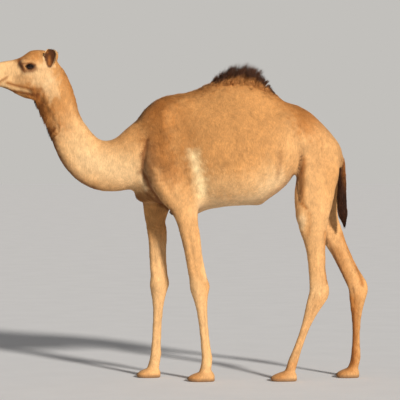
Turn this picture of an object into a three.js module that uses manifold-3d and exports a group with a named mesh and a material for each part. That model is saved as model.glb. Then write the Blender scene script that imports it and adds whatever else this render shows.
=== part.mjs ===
// A dromedary (one-humped camel) standing still in mid stride, life size, in millimetres.
// +Z is up, the nose points to -X and the camel's left side faces -Y. The origin is on the
// ground under the middle of the body. Each part that a person would name is one solid.
import * as THREE from 'three';
import { mergeVertices } from 'three/addons/utils/BufferGeometryUtils.js';
import Module from 'manifold-3d';

const wasm = await Module();
wasm.setup();

// ---------------------------------------------------------------- driving dimensions
const GAP = 0.4; // saw cut between neighbouring parts
const LEFT = -1; // sign of Y on the camel's left side
const RIGHT = 1;
const AHEAD = new THREE.Vector3(1, 0, 0); // every upright section looks along this
const FLAT = 0.15; // faces flatter than this are merged

const COAT = { color: 0xd9a066, roughness: 0.9 };
const PALE_COAT = { color: 0xe8bf8c, roughness: 0.9 };
const DARK_HAIR = { color: 0x3a2418, roughness: 0.95 };
const HORN = { color: 0x4a3a2c, roughness: 0.6 };
const CALLUS = { color: 0x8a6a4e, roughness: 0.8 };
const EYEBALL = { color: 0x120a06, roughness: 0.08 };

// Sections of the trunk, front to back. Each row is
// [x, level of the widest point, height above it, depth below it, half width, crown, keel].
// Crown and keel are superellipse powers: 2 is an ellipse, less is more like a roof.
const TRUNK = [
  [-252, 1482, 238, 236, 118, 2, 2],
  [-205, 1480, 334, 288, 150, 2, 2],
  [-120, 1468, 402, 314, 178, 1.8, 2],
  [-10, 1452, 443, 336, 204, 1.7, 2],
  [120, 1438, 474, 330, 242, 1.7, 2],
  [240, 1430, 474, 302, 269, 1.8, 2.1],
  [350, 1432, 450, 288, 280, 1.9, 2.1],
  [450, 1446, 415, 298, 276, 2, 2.1],
  [550, 1474, 375, 308, 258, 1.9, 2.1],
  [650, 1512, 330, 286, 236, 1.8, 2.1],
  [736, 1550, 284, 246, 218, 1.7, 2],
  [800, 1582, 226, 184, 207, 1.7, 2],
  [880, 1580, 180, 180, 196, 1.7, 2],
  [967, 1534, 140, 150, 165, 1.8, 2],
  [1035, 1490, 104, 106, 120, 2, 2],
  [1082, 1466, 44, 50, 58, 2, 2],
];

// The hump's own rows, in the same terms. Its foot is buried in the back.
const HUMP = [
  [70, 1760, 150, 60, 60, 1.5, 2],
  [140, 1750, 196, 80, 112, 1.5, 2],
  [230, 1740, 236, 90, 160, 1.45, 2],
  [320, 1735, 258, 90, 182, 1.4, 2],
  [405, 1735, 266, 90, 186, 1.4, 2],
  [480, 1735, 256, 90, 176, 1.4, 2],
  [560, 1740, 208, 90, 150, 1.5, 2],
  [640, 1740, 158, 80, 112, 1.5, 2],
  [705, 1745, 100, 60, 60, 1.5, 2],
];
const HUMP_FRONT = { x: 118, z: 1937 }; // where the hump's lower edge meets the back line
const HUMP_REAR = { x: 698, z: 1848 };

// The tuft of long hair along the top of the hump.
const CREST = [
  [205, 1940, 33, 14, 30, 1.5, 8],
  [250, 1946, 54, 16, 56, 1.3, 8],
  [300, 1956, 82, 18, 74, 1.2, 8],
  [375, 1966, 100, 20, 82, 1.2, 8],
  [440, 1966, 96, 20, 80, 1.2, 8],
  [495, 1954, 92, 18, 74, 1.2, 8],
  [550, 1924, 71, 18, 64, 1.3, 8],
  [600, 1894, 44, 16, 34, 1.5, 8],
];

// Rows of a bent limb are [x, y, z, half depth on the hind side, on the fore side, half width].
const NECK = [
  [-893, 0, 2030, 124, 100, 60],
  [-872, 0, 1982, 138, 120, 66],
  [-832, 0, 1890, 141, 134, 70],
  [-790, 0, 1790, 131, 127, 70],
  [-754, 0, 1696, 120, 120, 72],
  [-702, 0, 1590, 136, 136, 76],
  [-655, 0, 1515, 147, 149, 81],
  [-607, 0, 1465, 157, 159, 86],
  [-551, 0, 1431, 165, 169, 92],
  [-488, 0, 1417, 165, 181, 99],
  [-416, 0, 1427, 161, 189, 107],
  [-343, 0, 1447, 175, 208, 118],
  [-268, 0, 1470, 224, 262, 134],
  [-180, 0, 1480, 334, 300, 140],
];

// Head rows run from the lips to the back of the skull, in the trunk's terms.
const HEAD = [
  [-1255.5, 2008, 26, 26, 20, 2, 2],
  [-1245, 2010, 50, 48, 36, 2.1, 2.1],
  [-1224, 2014, 66, 68, 46, 2.2, 2.1],
  [-1190, 2018, 76, 86, 49, 2.1, 2],
  [-1150, 2022, 82, 102, 45, 2, 1.9],
  [-1100, 2028, 83, 134, 48, 2, 1.7],
  [-1046, 2040, 86, 172, 62, 2.1, 1.8],
  [-1010, 2052, 98, 199, 76, 2.2, 1.8],
  [-972, 2062, 112, 217, 84, 2.3, 1.9],
  [-915, 2065, 114, 232, 83, 2.2, 2],
  [-861, 2060, 110, 222, 79, 2.1, 2],
  [-822, 2040, 104, 176, 71, 2, 1.9],
  [-794, 2012, 88, 100, 56, 2, 2],
  [-776, 2004, 50, 42, 30, 2, 2],
];
const BROW = { at: [-984, 54, 2078], radii: [76, 41, 38] }; // bony ridge over each eye
const EYE = { at: [-978, 70, 2064], radius: 23 };
// Side view of the lower jaw, from the lips along the mouth line and back to the throat.
const JAW = [
  [-1300, 1974],
  [-1215, 1958],
  [-1178, 1962],
  [-1126, 1996],
  [-1100, 1950],
  [-962, 1904],
  [-968, 1760],
  [-1300, 1760],
];
const POLL = { x: -790, z: 2100 }; // the head is cut from the neck between these two
const THROAT = { x: -954, z: 1838 };
const NECK_BEND = { x: -692, z: 1572, along: [0.62, -0.78] };
const NECK_ROOT_X = -287;

// Ear rows are [x, outward offset, z, half width of the shell, depth of its cup].
const EAR = [
  [-842, 58, 2046, 14, 12],
  [-843, 66, 2068, 26, 19],
  [-842, 75, 2094, 37, 25],
  [-840, 84, 2122, 45, 28],
  [-838, 91, 2148, 47, 26],
  [-836, 95, 2167, 41, 19],
  [-835, 97, 2179, 24, 9],
];
const EAR_WALL = 8;
const EAR_OPENS = [-0.2, 1, 0.1]; // forward and outward, for the right ear

// Leg profiles are [bone, share of that bone, half depth on the hind side, fore side, half width].
const FORELEG = [
  [0, 0, 52, 52, 22],
  [0, 0.35, 110, 112, 48],
  [0, 0.7, 146, 152, 70],
  [0, 1, 168, 176, 70],
  [1, 0.35, 150, 164, 70],
  [1, 0.7, 130, 134, 66],
  [2, 0, 88, 92, 62],
  [2, 0.26, 73, 72, 54],
  [2, 0.5, 62, 61, 46],
  [2, 0.74, 59, 60, 43],
  [2, 0.92, 67, 65, 48],
  [3, 0, 65, 62, 48],
  [3, 0.12, 50, 52, 41],
  [3, 0.31, 37, 37, 31],
  [3, 0.6, 32, 32, 27],
  [3, 0.85, 35, 34, 31],
  [3, 1, 40, 38, 37],
  [4, 0.6, 36, 38, 40],
  [4, 1, 34, 46, 44],
];
const HINDLEG = [
  [0, 0, 44, 52, 40],
  [0, 0.25, 118, 118, 72],
  [0, 0.55, 138, 138, 90],
  [0, 0.8, 132, 134, 82],
  [1, 0, 118, 118, 68],
  [1, 0.18, 99, 96, 60],
  [1, 0.36, 80, 72, 52],
  [1, 0.56, 66, 60, 43],
  [1, 0.78, 62, 60, 37],
  [1, 0.94, 70, 62, 38],
  [2, 0.02, 78, 62, 38],
  [2, 0.14, 66, 56, 35],
  [2, 0.28, 47, 47, 31],
  [2, 0.48, 31, 33, 26],
  [2, 0.75, 28, 28, 25],
  [2, 1, 36, 35, 35],
  [3, 0.6, 32, 35, 36],
  [3, 1, 30, 42, 40],
];

// Joint centres of the four legs in this stride, [x, y, z], with the sign of Y for each side.
// Forelegs: top of the shoulder blade, point of the shoulder, elbow, knee, fetlock, foot.
// Hind legs: top of the thigh, stifle, hock, fetlock, foot.
const LEGS = {
  foreleg_left: {
    profile: FORELEG,
    joints: [
      [-88, 40, 1785], [-62, 148, 1425], [50, 150, 1112],
      [141, 132, 603], [188, 128, 138], [172, 130, 40],
    ],
    names: ['shoulder', 'forearm', 'cannon', 'foot'],
    cuts: [2, 3, 4],
    foot: { heel: 238, length: 174, width: 148 },
    side: LEFT,
  },
  foreleg_right: {
    profile: FORELEG,
    joints: [
      [-88, 40, 1785], [-78, 148, 1425], [-152, 150, 1112],
      [-130, 132, 608], [-154, 128, 140], [-176, 130, 40],
    ],
    names: ['shoulder', 'forearm', 'cannon', 'foot'],
    cuts: [2, 3, 4],
    foot: { heel: -122, length: 154, width: 148 },
    side: RIGHT,
  },
  hindleg_left: {
    profile: HINDLEG,
    joints: [
      [930, 76, 1592], [878, 146, 1090], [922, 112, 592], [750, 116, 120], [728, 116, 38],
    ],
    names: ['thigh', 'shank', 'cannon', 'foot'],
    cuts: [1, 2, 3],
    foot: { heel: 778, length: 168, width: 134 },
    side: LEFT,
  },
  hindleg_right: {
    profile: HINDLEG,
    joints: [
      [934, 76, 1592], [944, 146, 1100], [1189, 112, 606], [1179, 116, 128], [1156, 116, 38],
    ],
    names: ['thigh', 'shank', 'cannon', 'foot'],
    cuts: [1, 2, 3],
    foot: { heel: 1202, length: 150, width: 134 },
    side: RIGHT,
  },
};
const FOOT_CUT_BELOW = 34; // the foot starts this far below the fetlock
// Foot rows are [share of the length from the heel, height of the top, share of the half width].
const FOOT = [
  [0, 40, 0.5],
  [0.1, 62, 0.76],
  [0.32, 74, 0.93],
  [0.56, 64, 1],
  [0.78, 50, 0.94],
  [0.93, 38, 0.72],
  [1, 24, 0.42],
];
const SOLE_EDGE = 16; // height of the widest point of the sole
const SOLE_TRIM = 3; // worn off level underneath
const CLEFT = { length: 62, width: 13 };
const NAIL = { radii: [17, 12, 11], facets: 8, spread: 0.5, height: 19, inset: 9 };

const TAIL = [
  [1010, 0, 1530, 30, 30, 34],
  [1060, 0, 1515, 20, 20, 24],
  [1082, 0, 1462, 12, 12, 17],
  [1089, 0, 1400, 10, 10, 13],
  [1088, 0, 1340, 9, 9, 11],
  [1084, 0, 1295, 9, 9, 10],
];
const TAIL_TUFT = [
  [1089, 0, 1352, 13, 13, 15],
  [1085, 0, 1300, 20, 20, 21],
  [1079, 0, 1235, 27, 27, 26],
  [1078, 0, 1170, 30, 30, 27],
  [1084, 0, 1105, 28, 28, 24],
  [1096, 0, 1045, 20, 20, 17],
  [1106, 0, 996, 5, 5, 5],
];
const CHEST_PAD = { at: [48, 0, 1106], radii: [112, 72, 34] };
const SHEATH = { at: [524, 0, 1160], radii: [44, 24, 26] };
const BREAST = { at: [-205, 45, 1245], radii: [100, 88, 95] }; // pushed out by the far foreleg

// ---------------------------------------------------------------- solids
// A closed solid from a BufferGeometry whose faces point out.
function solid(geometry) {
  geometry.deleteAttribute('normal');
  geometry.deleteAttribute('uv');
  const merged = mergeVertices(geometry, 1e-4);
  return new wasm.Manifold(new wasm.Mesh({
    numProp: 3,
    vertProperties: merged.attributes.position.array,
    triVerts: new Uint32Array(merged.index.array),
  }));
}

// A closed solid through a row of rings, each with the same number of points.
function skinOver(rings) {
  const around = rings[0].length;
  const points = rings.flat();
  const faces = [];
  for (let r = 0; r + 1 < rings.length; r++) {
    for (let i = 0; i < around; i++) {
      const a = r * around + i;
      const b = r * around + ((i + 1) % around);
      faces.push(a, b, b + around, a, b + around, a + around);
    }
  }
  const cap = (start, ring, flip) => {
    const middle = ring.reduce((sum, p) => sum.add(p), new THREE.Vector3()).divideScalar(around);
    points.push(middle);
    for (let i = 0; i < around; i++) {
      const a = start + i;
      const b = start + ((i + 1) % around);
      faces.push(points.length - 1, ...(flip ? [b, a] : [a, b]));
    }
  };
  cap(0, rings[0], true);
  cap((rings.length - 1) * around, rings.at(-1), false);
  const geometry = new THREE.BufferGeometry().setFromPoints(points);
  const outward = signedVolume(points, faces) > 0;
  if (!outward) faces.reverse();
  geometry.setIndex(faces);
  return solid(geometry);
}

function signedVolume(points, faces) {
  let sum = 0;
  for (let i = 0; i < faces.length; i += 3) {
    const [a, b, c] = faces.slice(i, i + 3).map((k) => points[k]);
    sum += new THREE.Vector3().crossVectors(a, b).dot(c) / 6;
  }
  return sum;
}

// A smooth curve through one triple of values for each row.
const through = (rows) => new THREE.CatmullRomCurve3(
  rows.map((row) => new THREE.Vector3(...row)), false, 'catmullrom', 0.5);

// A round point of a superellipse: the cosine and sine of the turn, each kept to its power.
const roundTo = (value, power) => Math.sign(value) * Math.abs(value) ** (2 / power);

// Lofts a body through stations { at, up, down, side, crown, keel }. Sections stand across the
// line of the body, or upright. A grown copy is larger by that much on every side.
function loft(stations, { around, along, upright = false, grow = 0 }) {
  const line = through(stations.map((s) => s.at));
  const girth = through(stations.map((s) => [s.up, s.down, s.side]));
  const powers = through(stations.map((s) => [s.crown, s.keel, 0]));
  const rings = [];
  for (let k = 0; k <= along; k++) {
    const t = k / along;
    const tangent = upright ? AHEAD.clone() : line.getTangent(t);
    const up = new THREE.Vector3(-tangent.z, 0, tangent.x).normalize();
    const centre = line.getPoint(t);
    if (k === 0) centre.addScaledVector(tangent, -grow);
    if (k === along) centre.addScaledVector(tangent, grow);
    const size = girth.getPoint(t).max(new THREE.Vector3(2, 2, 2)).addScalar(grow);
    const power = powers.getPoint(t);
    rings.push(Array.from({ length: around }, (_, i) => {
      const turn = (2 * Math.PI * i) / around;
      const above = Math.sin(turn) >= 0;
      const shape = above ? power.x : power.y;
      const rise = roundTo(Math.sin(turn), shape) * (above ? size.x : size.y);
      return centre.clone()
        .addScaledVector(up, rise)
        .add(new THREE.Vector3(0, roundTo(Math.cos(turn), shape) * size.z, 0));
    }));
  }
  return skinOver(rings);
}

// Stations for upright bodies, from rows of [x, level, above, below, half width, crown, keel].
const uprightStations = (rows) => rows.map(([x, z, up, down, side, crown, keel]) => (
  { at: [x, 0, z], up, down, side, crown, keel }));

// Stations for bent limbs, from rows of [x, y, z, hind, fore, half width].
const bentStations = (rows) => rows.map(([x, y, z, up, down, side]) => (
  { at: [x, y, z], up, down, side, crown: 2, keel: 2 }));

function ellipsoid({ at, radii, facets = 12 }, side = 1, grow = 0) {
  const geometry = new THREE.SphereGeometry(1, facets, facets / 2);
  geometry.scale(...radii.map((r) => r + grow));
  geometry.translate(at[0], at[1] * side, at[2]);
  return solid(geometry);
}

// A prism across the whole body over an outline of [x, z] points.
function acrossBody(outline, shift = 0) {
  const shape = new THREE.Shape(outline.map(([x, z]) => new THREE.Vector2(x + shift, z + shift)));
  const geometry = new THREE.ExtrudeGeometry(shape, { depth: 1000, bevelEnabled: false });
  geometry.rotateX(Math.PI / 2);
  geometry.translate(0, 500, 0);
  return solid(geometry);
}

// Saws a body across a plane through a point. Returns what lies behind and ahead of the normal.
function saw(body, [x, z], [nx, nz]) {
  const normal = new THREE.Vector3(nx, 0, nz).normalize();
  const offset = normal.dot(new THREE.Vector3(x, 0, z));
  const ahead = body.trimByPlane(normal.toArray(), offset + GAP / 2);
  const behind = body.trimByPlane(normal.clone().negate().toArray(), -(offset - GAP / 2));
  return [behind, ahead];
}

// The largest body of a cut solid, without slivers left along the cut.
const mainBody = (body) => body.decompose().sort((a, b) => b.volume() - a.volume())[0];

// ---------------------------------------------------------------- the camel
const group = new THREE.Group();
group.name = 'dromedary';

function addPart(name, body, look) {
  const { numProp, vertProperties, triVerts, numVert } = mainBody(body).simplify(FLAT).getMesh();
  const positions = new Float32Array(numVert * 3);
  for (let i = 0; i < numVert; i++) {
    positions.set(vertProperties.subarray(i * numProp, i * numProp + 3), i * 3);
  }
  const geometry = new THREE.BufferGeometry()
    .setAttribute('position', new THREE.BufferAttribute(positions, 3))
    .setIndex(new THREE.BufferAttribute(triVerts, 1));
  geometry.computeVertexNormals();
  const mesh = new THREE.Mesh(geometry, new THREE.MeshStandardMaterial({ metalness: 0, ...look }));
  mesh.name = name;
  group.add(mesh);
}

// The stations of a leg: its profile laid along its joints.
function legStations({ profile, joints, side }) {
  return profile.map(([bone, share, up, down, half]) => {
    const from = new THREE.Vector3(...joints[bone]);
    const at = from.lerp(new THREE.Vector3(...joints[bone + 1]), share);
    at.y *= side;
    return { at: at.toArray(), up, down, side: half, crown: 2, keel: 2 };
  });
}

const legLoft = (leg, grow = 0) => loft(legStations(leg), { around: 12, along: 25, grow });

// A foot is a broad pad, flat on the ground and cleft into two toes at the front.
function footPad({ foot: { heel, length, width }, joints, side }) {
  const y = joints.at(-1)[1] * side;
  const stations = FOOT.map(([share, top, broad]) => ({
    at: [heel - share * length, y, SOLE_EDGE],
    up: top - SOLE_EDGE,
    down: SOLE_EDGE + SOLE_TRIM,
    side: (broad * width) / 2,
    crown: 2.2,
    keel: 5,
  })).reverse();
  const toe = heel - length;
  const wedge = new THREE.Shape([
    new THREE.Vector2(toe - 20, y - CLEFT.width / 2),
    new THREE.Vector2(toe, y - CLEFT.width / 2),
    new THREE.Vector2(toe + CLEFT.length, y),
    new THREE.Vector2(toe, y + CLEFT.width / 2),
    new THREE.Vector2(toe - 20, y + CLEFT.width / 2),
  ]);
  const cleft = new THREE.ExtrudeGeometry(wedge, { depth: 120, bevelEnabled: false });
  cleft.translate(0, 0, -10);
  return loft(stations, { around: 16, along: 7, upright: true }).subtract(solid(cleft));
}

function nails({ foot: { heel, length, width }, joints, side }) {
  return [-1, 1].map((toe) => {
    const y = joints.at(-1)[1] * side + (toe * NAIL.spread * width * 0.42) / 2;
    return { ...NAIL, at: [heel - length + NAIL.inset, y, NAIL.height] };
  });
}

function addLeg(name, leg) {
  const claws = nails(leg);
  let rest = legLoft(leg).add(footPad(leg));
  claws.forEach((claw) => { rest = rest.subtract(ellipsoid(claw, 1, GAP)); });
  rest = rest.trimByPlane([0, 0, 1], 0);
  leg.cuts.forEach((joint, i) => {
    const isFoot = i === leg.cuts.length - 1;
    const [x, , z] = leg.joints[joint];
    const [before, after] = [leg.joints[joint - 1], leg.joints[joint + 1]];
    const down = isFoot ? [0, -1] : [after[0] - before[0], after[2] - before[2]];
    const [above, below] = saw(rest, [x, isFoot ? z - FOOT_CUT_BELOW : z], down);
    addPart(`${name}_${leg.names[i]}`, above, COAT);
    rest = below;
  });
  addPart(`${name}_${leg.names.at(-1)}`, rest, COAT);
  claws.forEach((claw, i) => addPart(`${name}_nail_${i + 1}`, ellipsoid(claw), HORN));
}

// Crescent sections of an ear: the outside of the shell one way round, its cup the other way.
function ear(side) {
  const line = through(EAR.map(([x, y, z]) => [x, y * side, z]));
  const shell = through(EAR.map(([, , , half, cup]) => [half, cup, 0]));
  const opens = new THREE.Vector3(EAR_OPENS[0], EAR_OPENS[1] * side, EAR_OPENS[2]);
  const steps = 5;
  const reach = THREE.MathUtils.degToRad(96);
  const rings = [];
  for (let k = 0; k <= 8; k++) {
    const tangent = line.getTangent(k / 8);
    const forward = opens.clone().addScaledVector(tangent, -opens.dot(tangent)).normalize();
    const across = new THREE.Vector3().crossVectors(tangent, forward);
    const centre = line.getPoint(k / 8);
    const { x: half, y: cup } = shell.getPoint(k / 8);
    const wall = Math.min(EAR_WALL, half * 0.6);
    const arc = (sign, inset) => Array.from({ length: steps }, (_, i) => {
      const turn = sign * reach * (1 - (2 * i) / (steps - 1));
      return centre.clone()
        .addScaledVector(across, Math.sin(turn) * (half - inset))
        .addScaledVector(forward, -Math.cos(turn) * Math.max(cup - inset, 1) + inset * 0.2);
    });
    rings.push([...arc(1, 0), ...arc(-1, wall)]);
  }
  return skinOver(rings);
}

// Legs first, because the trunk is cut back from their buried tops.
Object.entries(LEGS).forEach(([name, leg]) => addLeg(name, leg));

const neckShape = (grow = 0) => loft(bentStations(NECK), { around: 16, along: 18, grow });
const headShape = (grow = 0) => loft(
  uprightStations(HEAD), { around: 16, along: 18, upright: true, grow });
const tailShape = (grow = 0) => loft(bentStations(TAIL), { around: 8, along: 8, grow });
const tuftShape = (grow = 0) => loft(bentStations(TAIL_TUFT), { around: 12, along: 9, grow });

const hump = loft(uprightStations(HUMP), { around: 16, along: 10, upright: true });
const barrel = loft(uprightStations(TRUNK), { around: 24, along: 20, upright: true });
let body = barrel.add(hump).add(neckShape()).add(headShape()).add(ellipsoid(SHEATH))
  .add(ellipsoid(BREAST));
[LEFT, RIGHT].forEach((side) => {
  body = body.add(ellipsoid(BROW, side));
});

// Head, neck and trunk are sawn apart across the line of the body.
const [headAndJaw, belowHead] = saw(
  body, [THROAT.x, THROAT.z], [POLL.z - THROAT.z, THROAT.x - POLL.x]);
const [neckUpper, belowBend] = saw(belowHead, [NECK_BEND.x, NECK_BEND.z], NECK_BEND.along);
const [neckLower, torso] = saw(belowBend, [NECK_ROOT_X, 0], [1, 0]);
addPart('neck_upper', neckUpper, PALE_COAT);
addPart('neck_lower', neckLower, PALE_COAT);

// Hump, trunk, chest pad and the hair along the hump.
const humpRise = [HUMP_FRONT.z - HUMP_REAR.z, HUMP_REAR.x - HUMP_FRONT.x];
let [trunk, humpTop] = saw(torso, [HUMP_FRONT.x, HUMP_FRONT.z], humpRise);
Object.values(LEGS).forEach((leg) => { trunk = trunk.subtract(legLoft(leg, GAP)); });
trunk = trunk.subtract(tailShape(GAP)).subtract(ellipsoid(CHEST_PAD, 1, GAP));
addPart('trunk', trunk, COAT);
addPart('chest_pad', ellipsoid(CHEST_PAD), CALLUS);
addPart('hump', humpTop, COAT);
const humpGrown = loft(uprightStations(HUMP), { around: 16, along: 10, upright: true, grow: GAP });
const barrelGrown = loft(
  uprightStations(TRUNK), { around: 24, along: 20, upright: true, grow: GAP });
const crest = loft(uprightStations(CREST), { around: 12, along: 12, upright: true });
addPart('hump_crest', crest.subtract(humpGrown).subtract(barrelGrown), DARK_HAIR);

// Tail and its tuft.
addPart('tail', tailShape().subtract(tuftShape(GAP)), COAT);
addPart('tail_tuft', tuftShape(), DARK_HAIR);

// Head, with its lower jaw, eyes and ears.
let head = headAndJaw.subtract(acrossBody(JAW)).subtract(acrossBody(JAW, GAP));
[LEFT, RIGHT].forEach((side) => {
  const label = side === LEFT ? 'left' : 'right';
  const eye = { at: EYE.at, radii: [EYE.radius, EYE.radius, EYE.radius] };
  head = head.subtract(ellipsoid(eye, side, GAP));
  addPart(`eye_${label}`, ellipsoid(eye, side), EYEBALL);
  addPart(`ear_${label}`, ear(side).subtract(headShape(GAP)).subtract(neckShape(GAP)), COAT);
});
addPart('head', head, PALE_COAT);
addPart('lower_jaw', headAndJaw.intersect(acrossBody(JAW)), PALE_COAT);

export default group;
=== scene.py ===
"""A live dromedary, standing in mid stride, as a life-size still model.

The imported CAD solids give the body's true outline. Here one seamless skin is grown from them,
sculpted, and dressed in a short coat with longer hair on the hump, nape, throat and tail.
Metres, +Z up, nose to -X, the camel's left side to -Y.
"""
import math
from contextlib import contextmanager

import bmesh
import bpy
import numpy as np
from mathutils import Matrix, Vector


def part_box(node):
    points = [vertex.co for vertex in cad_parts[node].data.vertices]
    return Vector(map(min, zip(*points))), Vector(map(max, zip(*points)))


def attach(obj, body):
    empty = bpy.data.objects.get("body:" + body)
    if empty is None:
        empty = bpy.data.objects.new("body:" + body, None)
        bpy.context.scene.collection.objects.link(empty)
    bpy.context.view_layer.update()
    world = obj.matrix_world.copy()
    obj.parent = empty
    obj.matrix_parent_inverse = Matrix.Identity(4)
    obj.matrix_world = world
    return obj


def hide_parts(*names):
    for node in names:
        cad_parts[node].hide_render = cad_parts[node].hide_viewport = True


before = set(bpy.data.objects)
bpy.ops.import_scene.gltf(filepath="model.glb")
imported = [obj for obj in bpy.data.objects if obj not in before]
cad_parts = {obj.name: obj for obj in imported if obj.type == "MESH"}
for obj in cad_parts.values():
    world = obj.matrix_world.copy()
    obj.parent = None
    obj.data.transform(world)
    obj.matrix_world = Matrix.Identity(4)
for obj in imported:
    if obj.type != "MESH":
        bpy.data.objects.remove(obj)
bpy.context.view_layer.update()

# ------------------------------------------------------------------ sizes
JOIN = 0.0008          # solids are grown by this, so that the saw cuts between them close
VOXEL = 0.0138         # mesh step of the skin on the trunk
HEAD_ZOOM = 3.0        # how much finer the head is meshed than the trunk
LEG_ZOOM = 1.8         # and the legs
HEAD_LEVELS = (-0.47, -0.19)    # where that starts and is full, along HEAD_AXIS
LEG_LEVELS = (-1.08, -0.88)     # and for the legs, downward
HEAD_CENTRE = np.array([-1.0, 0.0, 2.0])
HEAD_AXIS = np.array([-1.0, 0.0, 1.0]) / math.sqrt(2)
LEG_AXIS_X = 0.45      # the legs are spread about this line
LONGEST_EDGE = 0.03    # of the solids, before they are spread

HAIR_NODES = ("hump_crest", "tail_tuft")
LOOSE_NODES = [n for n in sorted(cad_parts) if "nail" in n or n.startswith("eye_")]
LOOSE_NODES.append("chest_pad")
SOLID_NODES = [n for n in sorted(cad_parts) if n not in HAIR_NODES]
FLESH_NODES = [n for n in SOLID_NODES if n not in LOOSE_NODES]
SIDES = {"left": -1.0, "right": 1.0}


# ------------------------------------------------------------------ small helpers
def smoothstep(low, high, value):
    """0 below low, 1 above high, smooth between. low may be above high."""
    t = np.clip((value - low) / (high - low), 0.0, 1.0)
    return t * t * (3.0 - 2.0 * t)


def bell(distance, width):
    """1 at no distance, fading to nothing over about twice the width."""
    return np.exp(-(distance / width) ** 2)


def unit(vectors):
    """Rows scaled to length 1."""
    return vectors / np.maximum(np.linalg.norm(vectors, axis=-1, keepdims=True), 1e-9)


def link(name, mesh):
    """A new object in the scene that shows mesh."""
    piece = bpy.data.objects.new(name, mesh)
    bpy.context.scene.collection.objects.link(piece)
    return piece


def shown(name, mesh, slot, *nodes):
    """A visible piece, in place of the CAD nodes that it stands for."""
    piece = link(name, mesh)
    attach(piece, "root")
    if nodes:
        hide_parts(*nodes)
    return piece


def shade_smooth(mesh):
    """Lets light run on smoothly from face to face."""
    mesh.polygons.foreach_set("use_smooth", [True] * len(mesh.polygons))


@contextmanager
def edited(mesh):
    """Opens a mesh for edits in a bmesh, and writes them back."""
    work = bmesh.new()
    work.from_mesh(mesh)
    yield work
    work.to_mesh(mesh)
    work.free()


def from_bmesh(work, name):
    """A new mesh with what was built in a bmesh."""
    mesh = bpy.data.meshes.new(name)
    work.to_mesh(mesh)
    work.free()
    return mesh


def coordinates(mesh):
    """The mesh's vertices as rows."""
    flat = np.empty(len(mesh.vertices) * 3)
    mesh.vertices.foreach_get("co", flat)
    return flat.reshape(-1, 3)


def set_coordinates(mesh, points):
    """Moves the mesh's vertices to rows of points."""
    mesh.vertices.foreach_set("co", np.ascontiguousarray(points, dtype=np.float32).ravel())
    mesh.update()


def normals(mesh):
    """The mesh's vertex normals as rows."""
    flat = np.empty(len(mesh.vertices) * 3, dtype=np.float32)
    mesh.vertex_normals.foreach_get("vector", flat)
    return flat.reshape(-1, 3).astype(float)


def segment_distance(points, start, end):
    """How far each point is from a straight line between two points, and how far along it."""
    line = end - start
    along = np.clip((points - start) @ line / max(line @ line, 1e-12), 0.0, 1.0)
    return np.linalg.norm(points - (start + along[:, None] * line), axis=1), along


def path_distance(points, path):
    """How far each point is from a path of straight lines, and the share of it passed there."""
    path = np.asarray(path, dtype=float)
    lengths = np.linalg.norm(np.diff(path, axis=0), axis=1)
    passed = np.concatenate([[0.0], np.cumsum(lengths)])
    best = np.full(len(points), 1e9)
    share = np.zeros(len(points))
    for i, length in enumerate(lengths):
        distance, along = segment_distance(points, path[i], path[i + 1])
        nearer = distance < best
        best = np.where(nearer, distance, best)
        share = np.where(nearer, (passed[i] + along * length) / passed[-1], share)
    return best, share


# ------------------------------------------------------------------ the skin's mesh
def grown_copy(node):
    """A copy of a CAD node's solid, swollen a little so that it overlaps its neighbours."""
    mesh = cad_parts[node].data.copy()
    with edited(mesh) as solid:
        bmesh.ops.remove_doubles(solid, verts=solid.verts, dist=1e-5)
        solid.normal_update()
        for vertex in solid.verts:
            vertex.co += vertex.normal * JOIN
    return link("grown_" + node, mesh)


def with_modifier(piece, kind, **settings):
    """The mesh of a piece after one modifier."""
    modifier = piece.modifiers.new(kind, kind)
    for key, value in settings.items():
        setattr(modifier, key, value)
    result = piece.evaluated_get(bpy.context.evaluated_depsgraph_get())
    mesh = bpy.data.meshes.new_from_object(result)
    piece.modifiers.clear()
    return mesh


def shorten_edges(mesh, longest):
    """Splits every edge until none is longer, so that the mesh can bend smoothly."""
    with edited(mesh) as work:
        for _ in range(5):
            long_edges = [e for e in work.edges if e.calc_length() > longest]
            if not long_edges:
                break
            bmesh.ops.subdivide_edges(work, edges=long_edges, cuts=1)
            bmesh.ops.triangulate(work, faces=work.faces)


def joined_solids():
    """Every solid but the hair's, as one closed surface."""
    whole, *others = [grown_copy(node) for node in SOLID_NODES]
    for other in others:
        whole.data = with_modifier(
            whole, "BOOLEAN", operation="UNION", solver="MANIFOLD", object=other)
        bpy.data.objects.remove(other)
    shorten_edges(whole.data, LONGEST_EDGE)
    return whole


class Zoom:
    """Spreads space out along one axis, so that even steps there are finer in the real body."""

    def __init__(self, centre, axis, start, full, scale):
        self.centre, self.axis = np.asarray(centre, dtype=float), np.asarray(axis, dtype=float)
        self.start, self.full, self.scale = start, full, scale
        self.real = np.linspace(-4.0, 4.0, 16001)
        grown = np.cumsum(self.factor(self.real)) * (self.real[1] - self.real[0])
        self.spread = grown - np.interp(start, self.real, grown) + start

    def factor(self, level):
        return 1.0 + (self.scale - 1.0) * smoothstep(self.start, self.full, level)

    def split(self, points):
        level = (points - self.centre) @ self.axis
        return level, points - self.centre - level[:, None] * self.axis

    def apply(self, points):
        level, across = self.split(points)
        along = np.interp(level, self.real, self.spread)
        return self.centre + along[:, None] * self.axis + across * self.factor(level)[:, None]

    def undo(self, points):
        along, across = self.split(points)
        level = np.interp(along, self.spread, self.real)
        return self.centre + level[:, None] * self.axis + across / self.factor(level)[:, None]


ZOOMS = (
    Zoom(HEAD_CENTRE, HEAD_AXIS, *HEAD_LEVELS, HEAD_ZOOM),
    Zoom((LEG_AXIS_X, 0.0, 0.0), (0.0, 0.0, -1.0), *LEG_LEVELS, LEG_ZOOM),
)


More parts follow.
